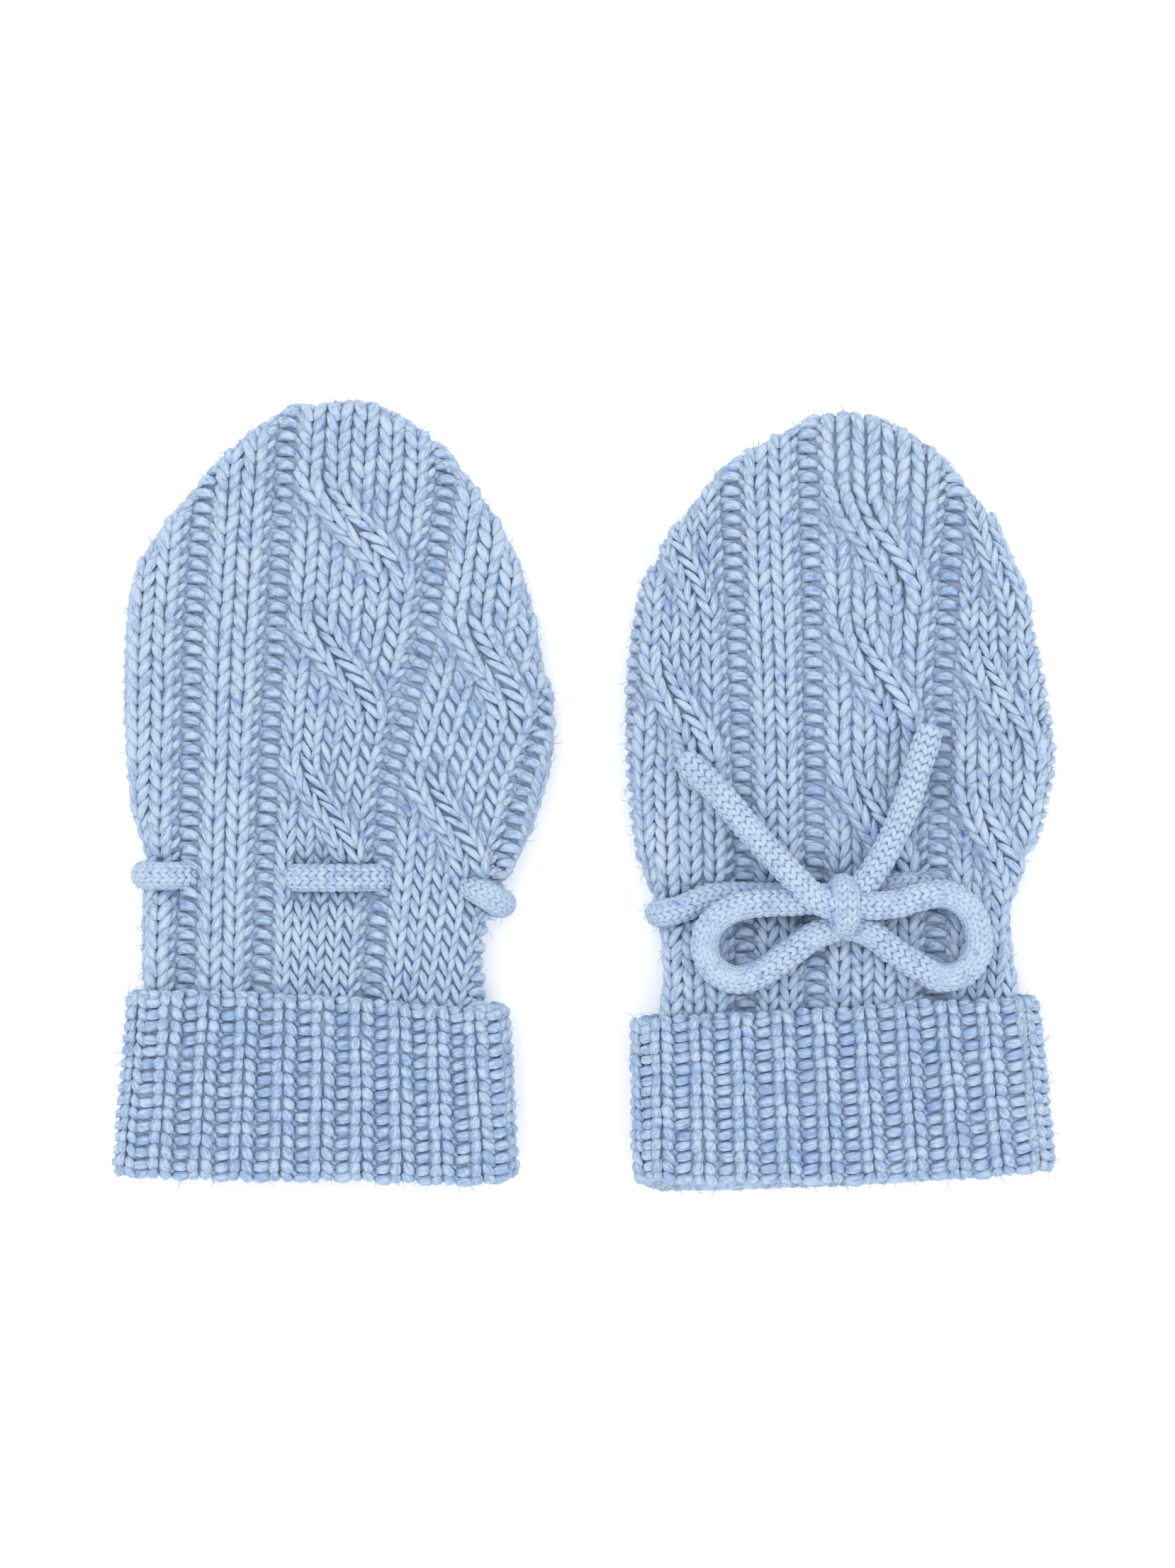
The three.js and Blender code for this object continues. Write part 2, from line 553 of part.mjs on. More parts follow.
// The bow, from the top strand down: each lower strand gives way to those above it.
const bow = [
  { name: "right_tail_left", route: leftTail, step: cordStep.bow },
  { name: "right_tail_right", route: rightTail, step: cordStep.bow },
  { name: "right_loop_left", route: leftLoop, step: cordStep.bow },
  { name: "right_loop_right", route: rightLoop, step: cordStep.bow },
  { name: "right_drawstring_left", route: rightDrawstringLeft, step: cordStep.drawstring },
  { name: "right_drawstring_right", route: rightDrawstringRight, step: cordStep.drawstring },
];
pair.add(meshOf("right_knot", knotSolid(), cordMaterial));
let taken = knotSolid(seamGap);
for (const { name, route, step } of bow) {
  pair.add(meshOf(name, cordSolid(route, step).subtract(taken), cordMaterial));
  taken = taken.add(cordSolid(route, step, seamGap));
}

export default pair;
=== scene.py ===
import json
import math

import bmesh
import bpy
import numpy as np
from mathutils import Matrix, Vector

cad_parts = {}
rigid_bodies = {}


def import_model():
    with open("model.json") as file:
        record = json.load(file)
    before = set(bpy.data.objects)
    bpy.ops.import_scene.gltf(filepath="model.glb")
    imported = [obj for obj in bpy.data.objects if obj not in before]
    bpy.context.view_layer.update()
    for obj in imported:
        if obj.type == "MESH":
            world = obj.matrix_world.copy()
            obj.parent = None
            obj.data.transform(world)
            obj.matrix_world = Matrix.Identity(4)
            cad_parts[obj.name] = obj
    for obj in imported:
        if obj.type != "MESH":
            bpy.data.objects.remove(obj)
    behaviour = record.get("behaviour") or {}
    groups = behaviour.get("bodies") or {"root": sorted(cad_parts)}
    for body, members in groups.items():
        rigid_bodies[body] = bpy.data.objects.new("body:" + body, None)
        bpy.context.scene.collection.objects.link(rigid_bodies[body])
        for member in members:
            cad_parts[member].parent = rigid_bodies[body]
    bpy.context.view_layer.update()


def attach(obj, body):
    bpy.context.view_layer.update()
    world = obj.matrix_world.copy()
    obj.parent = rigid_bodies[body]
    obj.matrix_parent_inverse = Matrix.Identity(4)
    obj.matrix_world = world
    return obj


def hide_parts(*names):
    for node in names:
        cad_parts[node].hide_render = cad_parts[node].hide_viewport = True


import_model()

mm = 0.001
scene = bpy.context.scene


# Nodes
class Wire:
    # One output of a node. Sums and products of wires add Math nodes.
    def __init__(self, board, socket):
        self.board = board
        self.socket = socket

    def math(self, operation, first, second=0.0):
        return self.board.add("ShaderNodeMath", {"operation": operation}, {0: first, 1: second})[0]

    def __add__(self, other):
        return self.math("ADD", self, other)

    def __radd__(self, other):
        return self.math("ADD", other, self)

    def __sub__(self, other):
        return self.math("SUBTRACT", self, other)

    def __mul__(self, other):
        return self.math("MULTIPLY", self, other)

    def sine(self):
        return self.math("SINE", self)


class Outputs:
    def __init__(self, board, node):
        self.board = board
        self.node = node

    def __getitem__(self, key):
        return Wire(self.board, self.node.outputs[key])


class Board:
    # A node tree that is filled by add(): type, settings, then the values or wires of its sockets.
    def __init__(self, tree):
        self.tree = tree

    def add(self, kind, settings=None, values=None):
        node = self.tree.nodes.new(kind)
        for name, value in (settings or {}).items():
            if name == "stops":
                ramp = node.color_ramp
                while len(ramp.elements) < len(value):
                    ramp.elements.new(0.5)
                for element, (place, color) in zip(ramp.elements, value):
                    element.position = place
                    element.color = (*color, 1)
            else:
                setattr(node, name, value)
        for key, value in (values or {}).items():
            for one in value if isinstance(value, list) else [value]:
                if isinstance(one, Wire):
                    self.tree.links.new(one.socket, node.inputs[key])
                else:
                    node.inputs[key].default_value = one
        return Outputs(self, node)

    def mixColor(self, factor, first, second, blend="MIX"):
        settings = {"data_type": "RGBA", "blend_type": blend}
        return self.add("ShaderNodeMix", settings, {0: factor, 6: first, 7: second})[2]


def srgb(red, green, blue):
    def linear(value):
        value /= 255
        return value / 12.92 if value < 0.04045 else ((value + 0.055) / 1.055) ** 2.4
    return (linear(red), linear(green), linear(blue))


# Camera
cameraView = {"lens": 85, "sensor": 36, "height": 259.3, "centre": (0.7, 2.5), "plane": 5}


def makeCamera():
    data = bpy.data.cameras.new("camera")
    data.lens = cameraView["lens"]
    data.sensor_width = cameraView["sensor"]
    data.clip_start = 0.01
    camera = bpy.data.objects.new("camera", data)
    distance = cameraView["height"] * cameraView["lens"] / cameraView["sensor"] + cameraView["plane"]
    camera.location = (cameraView["centre"][0] * mm, cameraView["centre"][1] * mm, distance * mm)
    scene.collection.objects.link(camera)
    scene.camera = camera


makeCamera()
print("camera made")


# Shared shapes
def smoothPath(points, spacing):
    # A centripetal curve through the points, at an even spacing.
    knots = [Vector(p) for p in points]
    knots = [2 * knots[0] - knots[1]] + knots + [2 * knots[-1] - knots[-2]]
    fine = [knots[1]]
    for a, b, c, d in zip(knots, knots[1:], knots[2:], knots[3:]):
        before, here, after = ((q - p).length ** 0.5 for p, q in ((a, b), (b, c), (c, d)))
        leaving = ((b - a) / before - (c - a) / (before + here) + (c - b) / here) * here
        arriving = ((c - b) / here - (d - b) / (here + after) + (d - c) / after) * here
        for i in range(1, 13):
            t = i / 12
            fine.append(
                b * (2 * t**3 - 3 * t**2 + 1) + leaving * (t**3 - 2 * t**2 + t)
                + c * (3 * t**2 - 2 * t**3) + arriving * (t**3 - t**2)
            )
    return evenPath(fine, spacing)


def reachAlong(line):
    # How far along a line each of its points is.
    return np.concatenate([[0], np.cumsum(np.linalg.norm(np.diff(line, axis=0), axis=1))])


def evenPath(points, spacing):
    line = np.array([tuple(p) for p in points])
    reach = reachAlong(line)
    count = max(2, round(reach[-1] / spacing) + 1)
    places = np.linspace(0, reach[-1], count)
    return np.stack([np.interp(places, reach, line[:, k]) for k in range(line.shape[1])], axis=1)


def framesAlong(path, closed=False):
    # Tangent and side of a path at each point, without twist.
    points = [Vector(p) for p in path]
    count = len(points)
    tangents = []
    for i in range(count):
        ahead = points[(i + 1) % count] if closed else points[min(i + 1, count - 1)]
        behind = points[i - 1] if closed else points[max(i - 1, 0)]
        tangents.append((ahead - behind).normalized())
    up = Vector((0, 0, 1)) if abs(tangents[0].z) < 0.9 else Vector((1, 0, 0))
    normal = (up - tangents[0] * up.dot(tangents[0])).normalized()
    normals = []
    for tangent in tangents:
        normal = (normal - tangent * normal.dot(tangent)).normalized()
        normals.append(normal.copy())
    return points, tangents, normals


def sweep(name, path, radii, sides, thick=1.0, closed=False):
    # A round or flattened tube along a path in millimetres, with its own map: u along it, v round it.
    points, tangents, normals = framesAlong(path, closed)
    verts = []
    for point, tangent, normal, radius in zip(points, tangents, normals, radii):
        side = tangent.cross(normal)
        for k in range(sides):
            angle = 2 * math.pi * k / sides
            out = side * math.cos(angle) + normal * thick * math.sin(angle)
            verts.append(tuple((point + radius * out) * mm))
    rings = len(points)
    faces = []
    for j in range(rings if closed else rings - 1):
        for k in range(sides):
            a, b = j * sides + k, j * sides + (k + 1) % sides
            faces.append((a, b, (b + sides) % len(verts), (a + sides) % len(verts)))
    if not closed:
        faces.append(tuple(range(sides)))
        faces.append(tuple(range((rings - 1) * sides, rings * sides)))
    mesh = bpy.data.meshes.new(name)
    mesh.from_pydata(verts, [], faces)
    uv = mesh.uv_layers.new(name="yarn")
    for face in mesh.polygons:
        for corner, vertex in zip(face.loop_indices, face.vertices):
            ring, k = divmod(vertex, sides)
            turn = 1 if k == 0 and any(v % sides == sides - 1 for v in face.vertices) else k / sides
            uv.data[corner].uv = (ring / (rings - 1), turn)
    return finishMesh(name, mesh)


def finishMesh(name, mesh):
    # Smooth faces that point outwards, in an object at the origin.
    shape = bmesh.new()
    shape.from_mesh(mesh)
    bmesh.ops.recalc_face_normals(shape, faces=shape.faces)
    shape.to_mesh(mesh)
    shape.free()
    mesh.shade_smooth()
    piece = bpy.data.objects.new(name, mesh)
    scene.collection.objects.link(piece)
    return piece


def settle(piece):
    # Turns what the modifiers make into the piece's own mesh.
    bpy.context.view_layer.update()
    graph = bpy.context.evaluated_depsgraph_get()
    final = piece.evaluated_get(graph)
    mesh = bpy.data.meshes.new_from_object(final, preserve_all_data_layers=True, depsgraph=graph)
    piece.modifiers.clear()
    piece.data = mesh
    for name in ("turn", "reach", "kind"):
        if name in mesh.attributes:
            mesh.attributes.remove(mesh.attributes[name])
    return piece


def trianglesOf(piece):
    return sum(len(face.vertices) - 2 for face in piece.data.polygons)


# Yarn
yarn = {
    "light": srgb(192, 210, 232), "middle": srgb(180, 202, 229), "deep": srgb(150, 177, 216),
    "fleck": srgb(112, 146, 207), "core": srgb(190, 209, 233), "coreShade": srgb(172, 195, 226),
    "roughness": 0.92, "sheen": 0.14, "plies": 2, "twist": 2.2, "glow": 0.35, "glowReach": 1.6,
}


def yarnMaterial(name, isCore=False, light=0.0, coarse=1.0, glow=yarn["glow"]):
    # Melange yarn: streaks along its plies, or the plainer yarn that shows between the stitches. The light
    # offset makes lighter or darker copies of the same yarn: painted light or painted shade.
    material = bpy.data.materials.new(name)
    material.use_nodes = True
    material.node_tree.nodes.clear()
    board = Board(material.node_tree)
    place = board.add("ShaderNodeTexCoord")["Object"]

    def noise(scale, detail, vector=place):
        values = {"Vector": vector, "Scale": scale, "Detail": detail}
        return board.add("ShaderNodeTexNoise", {}, values)["Fac"]

    blotch = noise(260, 2)
    fibre = noise(3600, 2)
    if isCore:
        color = board.mixColor(blotch, (*yarn["core"], 1), (*yarn["coreShade"], 1))
        height = fibre
    else:
        tone = board.add("ShaderNodeAttribute", {"attribute_name": "tone"})["Fac"]
        uv = board.add("ShaderNodeUVMap", {"uv_map": "yarn"})["UV"]
        parts = board.add("ShaderNodeSeparateXYZ", {}, {0: uv})
        wave = ((parts[0] * yarn["twist"] + parts[1] * yarn["plies"]) * (2 * math.pi)).sine()
        along = board.add("ShaderNodeCombineXYZ", {}, {
            0: parts[0] * 2.4 * coarse + wave * 0.1, 1: parts[1] * 13 * coarse, 2: tone * 40,
        })[0]
        streak = noise(1, 2, along)
        uneven = noise(560, 3)
        # wave * 0.04 makes the colour darker in the grooves between the plies: painted shade
        shade = (
            0.5 + light + (blotch - 0.5) * 0.5 + (uneven - 0.5) * 0.7 + (tone - 0.5) * 0.2
            + (streak - 0.5) * 1.9 * coarse + (fibre - 0.5) * 0.6 * coarse + wave * 0.04
        )
        color = board.add(
            "ShaderNodeValToRGB",
            {"stops": [(0.2, yarn["deep"]), (0.45, yarn["middle"]), (0.75, yarn["light"])]},
            {"Fac": shade},
        )[0]
        rare = board.add(
            "ShaderNodeMath", {"operation": "MULTIPLY_ADD", "use_clamp": True},
            {0: noise(430, 1), 1: 9.0, 2: -5.85},
        )[0]
        color = board.mixColor(rare * 0.6, color, (*yarn["fleck"], 1))
        height = wave * 0.3 + streak * 1.0 + fibre * 0.3
    relief = {"Strength": 0.6 * coarse, "Distance": 0.00025, "Height": height}
    bump = board.add("ShaderNodeBump", {}, relief)["Normal"]
    shader = board.add("ShaderNodeBsdfPrincipled", {}, {
        "Base Color": color, "Roughness": yarn["roughness"], "Specular IOR Level": 0.2,
        "Subsurface Weight": glow, "Subsurface Radius": (0.8, 0.9, 1.0),
        "Subsurface Scale": yarn["glowReach"] * mm,
        "Sheen Weight": yarn["sheen"], "Sheen Roughness": 0.6, "Sheen Tint": (*yarn["light"], 1),
        "Normal": bump,
    })[0]
    board.add("ShaderNodeOutputMaterial", {}, {"Surface": shader})
    return material


materials = {
    "stitch": yarnMaterial("knitted yarn"),
    # The cuffs' yarn is the knitted yarn set darker: painted shade
    "rib": yarnMaterial("rib yarn with painted shade", light=-0.13),
    # The cords' yarn is the knitted yarn set lighter, against the shade among its small stitches: painted
    # light
    "cord": yarnMaterial("cord yarn with painted light", light=0.1, coarse=0.6, glow=0.05),
    "cloth": yarnMaterial("yarn between the stitches", isCore=True),
    "cordCloth": yarnMaterial("yarn inside the cord", isCore=True, glow=0.05),
    # The loose fibres are the yarn set lighter, for their lit halo: painted light
    "fuzz": yarnMaterial("loose fibres with painted light", light=0.25, glow=0.05),
}

# One leg of a knit stitch and one purl bump, along +Y and with +Z out of the cloth
stitchShape = {
    "leg": {"length": 4.1, "radius": 0.9, "thick": 0.72, "dive": 0.45, "sides": 5, "rings": 6},
    "bump": {"width": 3.9, "radius": 0.92, "arch": 0.7, "dive": 0.6, "thick": 0.76, "sides": 5, "rings": 6},
    "ribBump": {
        "width": 2.8, "radius": 1.0, "arch": 0.3, "dive": 0.8, "thick": 0.74, "sides": 5, "rings": 6,
    },
    "plainLeg": {"length": 4.1, "radius": 0.87, "thick": 0.85, "dive": 0.6, "sides": 5, "rings": 3},
    "cordLeg": {"length": 2.15, "radius": 0.5, "thick": 0.72, "dive": 0.3, "sides": 5, "rings": 5},
}


def makeLeg(name, form):
    spine, radii = [], []
    for t in np.linspace(-1, 1, form["rings"]).tolist():
        spine.append((0, t * form["length"] / 2, -form["dive"] * t * t))
        radii.append(form["radius"] * max(0.3, 1 - 0.62 * abs(t) ** 2.4))
    return sweep(name, spine, radii, form["sides"], form["thick"])


def makeBump(name, form):
    spine, radii = [], []
    for t in np.linspace(-1, 1, form["rings"]).tolist():
        spine.append((t * form["width"] / 2, form["arch"] * (0.5 - t * t), -form["dive"] * t * t))
        radii.append(form["radius"] * max(0.4, 1 - 0.5 * abs(t) ** 2.2))
    return sweep(name, spine, radii, form["sides"], form["thick"])


templates = {
    "leg": makeLeg("leg", stitchShape["leg"]),
    "bump": makeBump("bump", stitchShape["bump"]),
    "ribBump": makeBump("ribBump", stitchShape["ribBump"]),
    "plainLeg": makeLeg("plainLeg", stitchShape["plainLeg"]),
    "cordLeg": makeLeg("cordLeg", stitchShape["cordLeg"]),
}


def makeFibre(name, length, bow, radius):
    spine = [(0, 0, 0), (0.25, length * 0.5, bow), (-0.1, length, bow * 0.5)]
    return sweep(name, spine, [radius, radius, radius * 0.4], 3)


templates["fibre"] = makeFibre("fibre", 1.7, 0.35, 0.04)


# Node trees
def addInput(tree, name, kind, default=None):
    socket = tree.interface.new_socket(name, in_out="INPUT", socket_type=kind)
    if default is not None:
        socket.default_value = default


def newTree(name):
    tree = bpy.data.node_groups.new(name, "GeometryNodeTree")
    tree.interface.new_socket("Geometry", in_out="OUTPUT", socket_type="NodeSocketGeometry")
    addInput(tree, "Geometry", "NodeSocketGeometry")
    return tree


def endTree(board, given, geometry):
    # Turns the instances into one mesh and paints it.
    solid = board.add("GeometryNodeRealizeInstances", {}, {0: geometry})[0]
    paint = {"Geometry": solid, "Material": given["Material"]}
    painted = board.add("GeometryNodeSetMaterial", {}, paint)[0]
    board.add("NodeGroupOutput", {}, {0: painted})


def stitchTree():
    # Legs and bumps of yarn on the points of a mesh, each turned and sized by the point's own values.
    tree = newTree("stitches")
    addInput(tree, "Leg", "NodeSocketObject")
    addInput(tree, "Bump", "NodeSocketObject")
    addInput(tree, "Thickness", "NodeSocketFloat", 1.0)
    addInput(tree, "Shift", "NodeSocketFloat", 0.1 * mm)
    addInput(tree, "Sway", "NodeSocketFloat", 0.08)
    addInput(tree, "Seed", "NodeSocketInt", 1)
    addInput(tree, "Material", "NodeSocketMaterial")
    board = Board(tree)
    given = board.add("NodeGroupInput")

    def scatter(amount, offset):
        seed = board.add("ShaderNodeMath", {"operation": "ADD"}, {0: given["Seed"], 1: offset})[0]
        ones = {0: (-1, -1, -1), 1: (1, 1, 1), "Seed": seed}
        drawn = board.add("FunctionNodeRandomValue", {"data_type": "FLOAT_VECTOR"}, ones)[0]
        return board.add("ShaderNodeVectorMath", {"operation": "SCALE"}, {0: drawn, "Scale": amount})[0]

    def attribute(name, kind):
        node = board.add("GeometryNodeInputNamedAttribute", {"data_type": kind}, {"Name": name})
        return node["Attribute"]

    def uneven(name, amount, offset):
        values = {0: attribute(name, "FLOAT_VECTOR"), 1: scatter(amount, offset)}
        return board.add("ShaderNodeVectorMath", {"operation": "ADD"}, values)[0]

    offset = {"Geometry": given["Geometry"], "Offset": scatter(given["Shift"], 1)}
    moved = board.add("GeometryNodeSetPosition", {}, offset)[0]
    rotation = board.add("FunctionNodeEulerToRotation", {}, {0: uneven("turn", given["Sway"], 2)})[0]
    scale = board.add("ShaderNodeVectorMath", {"operation": "SCALE"}, {
        0: uneven("reach", 0.07, 3), "Scale": given["Thickness"],
    })[0]
    made = []
    for name, operation in (("Leg", "LESS_THAN"), ("Bump", "GREATER_THAN")):
        chosen = board.add(
            "FunctionNodeCompare", {"data_type": "FLOAT", "operation": operation},
            {0: attribute("kind", "FLOAT"), 1: 0.5},
        )[0]
        shape = board.add("GeometryNodeObjectInfo", {}, {"Object": given[name]})["Geometry"]
        made.append(board.add("GeometryNodeInstanceOnPoints", {}, {
            "Points": moved, "Selection": chosen, "Instance": shape, "Rotation": rotation, "Scale": scale,
        })[0])
    endTree(board, given, board.add("GeometryNodeJoinGeometry", {}, {0: made})[0])
    return tree


def fuzzTree():
    # Loose fibres that stand out of a surface at random.
    tree = newTree("fuzz")
    addInput(tree, "Fibre", "NodeSocketObject")
    addInput(tree, "Density", "NodeSocketFloat", 100000)
    addInput(tree, "Seed", "NodeSocketInt", 1)
    addInput(tree, "Material", "NodeSocketMaterial")
    board = Board(tree)
    given = board.add("NodeGroupInput")
    height = board.add("ShaderNodeSeparateXYZ", {}, {0: board.add("GeometryNodeInputPosition")[0]})[2]
    above = {"data_type": "FLOAT", "operation": "GREATER_THAN"}
    clear = board.add("FunctionNodeCompare", above, {0: height, 1: 2.6 * mm})[0]
    points = board.add("GeometryNodeDistributePointsOnFaces", {}, {
        "Mesh": given["Geometry"], "Selection": clear, "Density": given["Density"], "Seed": given["Seed"],
    })
    lean = board.add("FunctionNodeRandomValue", {"data_type": "FLOAT_VECTOR"}, {
        0: (-0.55, -0.55, -3.14), 1: (0.55, 0.55, 3.14), "Seed": given["Seed"],
    })[0]
    spun = board.add("FunctionNodeEulerToRotation", {}, {0: lean})[0]
    local = {"rotation_space": "LOCAL"}
    turned = board.add("FunctionNodeRotateRotation", local, {0: points["Rotation"], 1: spun})[0]
    spread = {2: 0.5, 3: 1.3, "Seed": given["Seed"]}
    size = board.add("FunctionNodeRandomValue", {"data_type": "FLOAT"}, spread)[1]
    shape = board.add("GeometryNodeObjectInfo", {}, {"Object": given["Fibre"]})["Geometry"]
    placed = board.add("GeometryNodeInstanceOnPoints", {}, {
        "Points": points["Points"], "Instance": shape, "Rotation": turned, "Scale": size,
    })[0]
    endTree(board, given, placed)
    return tree


trees = {"stitches": stitchTree(), "fuzz": fuzzTree()}


def grow(piece, treeName, values):
    # Runs a node tree on a piece and keeps the mesh that it makes.
    tree = trees[treeName]
    modifier = piece.modifiers.new(treeName, "NODES")
    modifier.node_group = tree
    for item in tree.interface.items_tree:
        if item.in_out == "INPUT" and item.name in values:
            modifier[item.identifier] = values[item.name]
    settle(piece)
    piece.data.shade_smooth()
    return piece


def alongCloth(forward, normal):
    # The direction laid in the plane that the normal stands on.
    return (forward - normal * forward.dot(normal)).normalized()


class Stitches:
    # The places of a piece's stitches, collected one by one in millimetres.
    def __init__(self):
        self.points = []
        self.turns = []
        self.sizes = []
        self.kinds = []
        self.tones = []

    def add(self, kind, point, forward, normal, size, tone):
        ahead = alongCloth(forward, normal)
        side = ahead.cross(normal)
        frameAxes = Matrix((side, ahead, normal)).transposed()
        self.points.append(tuple(Vector(point) * mm))
        self.turns.extend(frameAxes.to_euler())
        self.sizes.extend(size)
        self.kinds.append(kind)
        self.tones.append(tone)

    def knit(self, point, forward, normal, width, length, leans, tone, spread=0.25, pitch=0.12):
        # A V of two legs whose point is at the back of the forward direction and stands out a little.
        ahead = alongCloth(forward, normal)
        side = ahead.cross(normal)
        tilted = (normal + ahead * pitch).normalized()
        share = max(0.66, min(1.12, width / 4.1))
        for sign, lean in zip((-1, 1), leans):
            axis = ahead * math.cos(lean) + side * sign * math.sin(lean)
            self.add(0, point + side * sign * width * spread, axis, tilted, (share, length, 1), tone)

    def piece(self, name, leg, bump, material, seed, thickness=1.0, shift=0.1, sway=0.08):
        mesh = bpy.data.meshes.new(name)
        mesh.from_pydata(self.points, [], [])
        for label, kind, values in (
            ("turn", "FLOAT_VECTOR", self.turns), ("reach", "FLOAT_VECTOR", self.sizes),
            ("kind", "FLOAT", self.kinds), ("tone", "FLOAT", self.tones),
        ):
            layer = mesh.attributes.new(label, kind, "POINT")
            layer.data.foreach_set("vector" if kind == "FLOAT_VECTOR" else "value", values)
        made = bpy.data.objects.new(name, mesh)
        scene.collection.objects.link(made)
        grow(made, "stitches", {
            "Leg": templates[leg], "Bump": templates[bump], "Thickness": thickness, "Shift": shift * mm,
            "Sway": sway, "Seed": seed, "Material": materials[material],
        })
        print(f"{name}: {len(self.points)} yarn pieces, {trianglesOf(made)} triangles")
        return made


def addFuzz(name, source, density, seed):
    # Fibres on a copy of a surface.
    piece = bpy.data.objects.new(name, source.data.copy())
    scene.collection.objects.link(piece)
    grow(piece, "fuzz", {
        "Fibre": templates["fibre"], "Density": density, "Seed": seed, "Material": materials["fuzz"],
    })
    print(f"{name}: {trianglesOf(piece)} triangles")
    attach(piece, "root")
    return piece


chance = np.random.default_rng(7)


# Cords
cordMake = {
    "radius": 2.4, "core": 1.85, "legHeight": 2.05, "columns": 8, "stitch": 1.5, "lean": 0.46, "sides": 12,
    "fibres": 90000,
}

leftDrawstring = [
    (-66.5, -12.4, 2.5), (-70.4, -12.4, 2.6), (-72.5, -12.5, 5.2), (-71, -12.6, 8), (-68.4, -12.6, 8.4),
    (-66.2, -12.6, 7), (-63.4, -12.7, 5), (-51.4, -12.9, 5), (-48.4, -12.9, 6.8), (-45.6, -12.9, 8.4),
    (-37.2, -12.9, 8.4), (-33.8, -12.9, 6.8), (-30.6, -13, 5), (-21.8, -13.6, 5), (-18.8, -14.4, 6.8),
    (-16.2, -15.6, 8.4), (-14.4, -16.7, 8), (-13.4, -17.3, 5.2), (-15, -17.2, 2.6), (-19, -16.8, 2.5),
]
rightDrawstring = [
    (18.5, -18.2, 2.5), (14.6, -18.7, 2.6), (12.5, -18.9, 5.2), (14, -18.6, 8), (16.6, -17.9, 8.3),
    (20.7, -16.2, 8.2), (27.8, -15.9, 8), (33.6, -16.3, 8.4), (38.3, -16.8, 9.8), (42.4, -16.8, 10.4),
    (46.8, -15.4, 9), (50.7, -14.1, 8.4), (53.6, -13.9, 7.8), (56.4, -13.9, 6.4), (59.4, -14, 5.3),
    (66.4, -14.6, 5.3),
]
leftLoop = [
    (42.4, -15.4, 13.2), (35, -16.7, 13.1), (29.4, -16.9, 13.3), (24.8, -17.7, 13.4), (20.9, -20.4, 13.2),
    (19.8, -24.1, 12.6), (21.3, -27.7, 12.3), (24.8, -29.5, 12.3), (28.9, -28.5, 12.3), (33.5, -25.3, 12.3),
    (38, -22.2, 12.2), (42.4, -20.8, 12),
]
rightLoop = [
    (42.4, -16.6, 14.6), (46.8, -17.3, 14.2), (50.7, -17.1, 13.7), (54.8, -16, 13.2), (59, -15.4, 12.6),
    (62.6, -17.3, 12.4), (64.5, -21, 12.3), (64.5, -25.1, 12.3), (62, -28.4, 12.3), (58.4, -29.1, 12.3),
    (54.4, -27.1, 12.3), (50.3, -24.4, 12.2), (46.4, -21.6, 11.9), (42.4, -20.6, 11.6),
]
leftTail = [
    (42.4, -18.4, 15), (37.6, -15.9, 15.8), (32.5, -10.8, 14.4), (27.4, -5.2, 12.8), (22.3, 0.9, 12.4),
    (15.7, 7.4, 12.1),
]
rightTail = [
    (42.4, -17.4, 13.6), (46.2, -13.4, 13.4), (49.2, -8.8, 13), (52.3, -2.2, 12.5), (54.8, 5.4, 12.4),
    (57.1, 12.5, 12.2),
]
knotWrap = {"x": 42.4, "y": -17.3, "z": 12.6, "halfLength": 2.9, "halfHeight": 3.9}


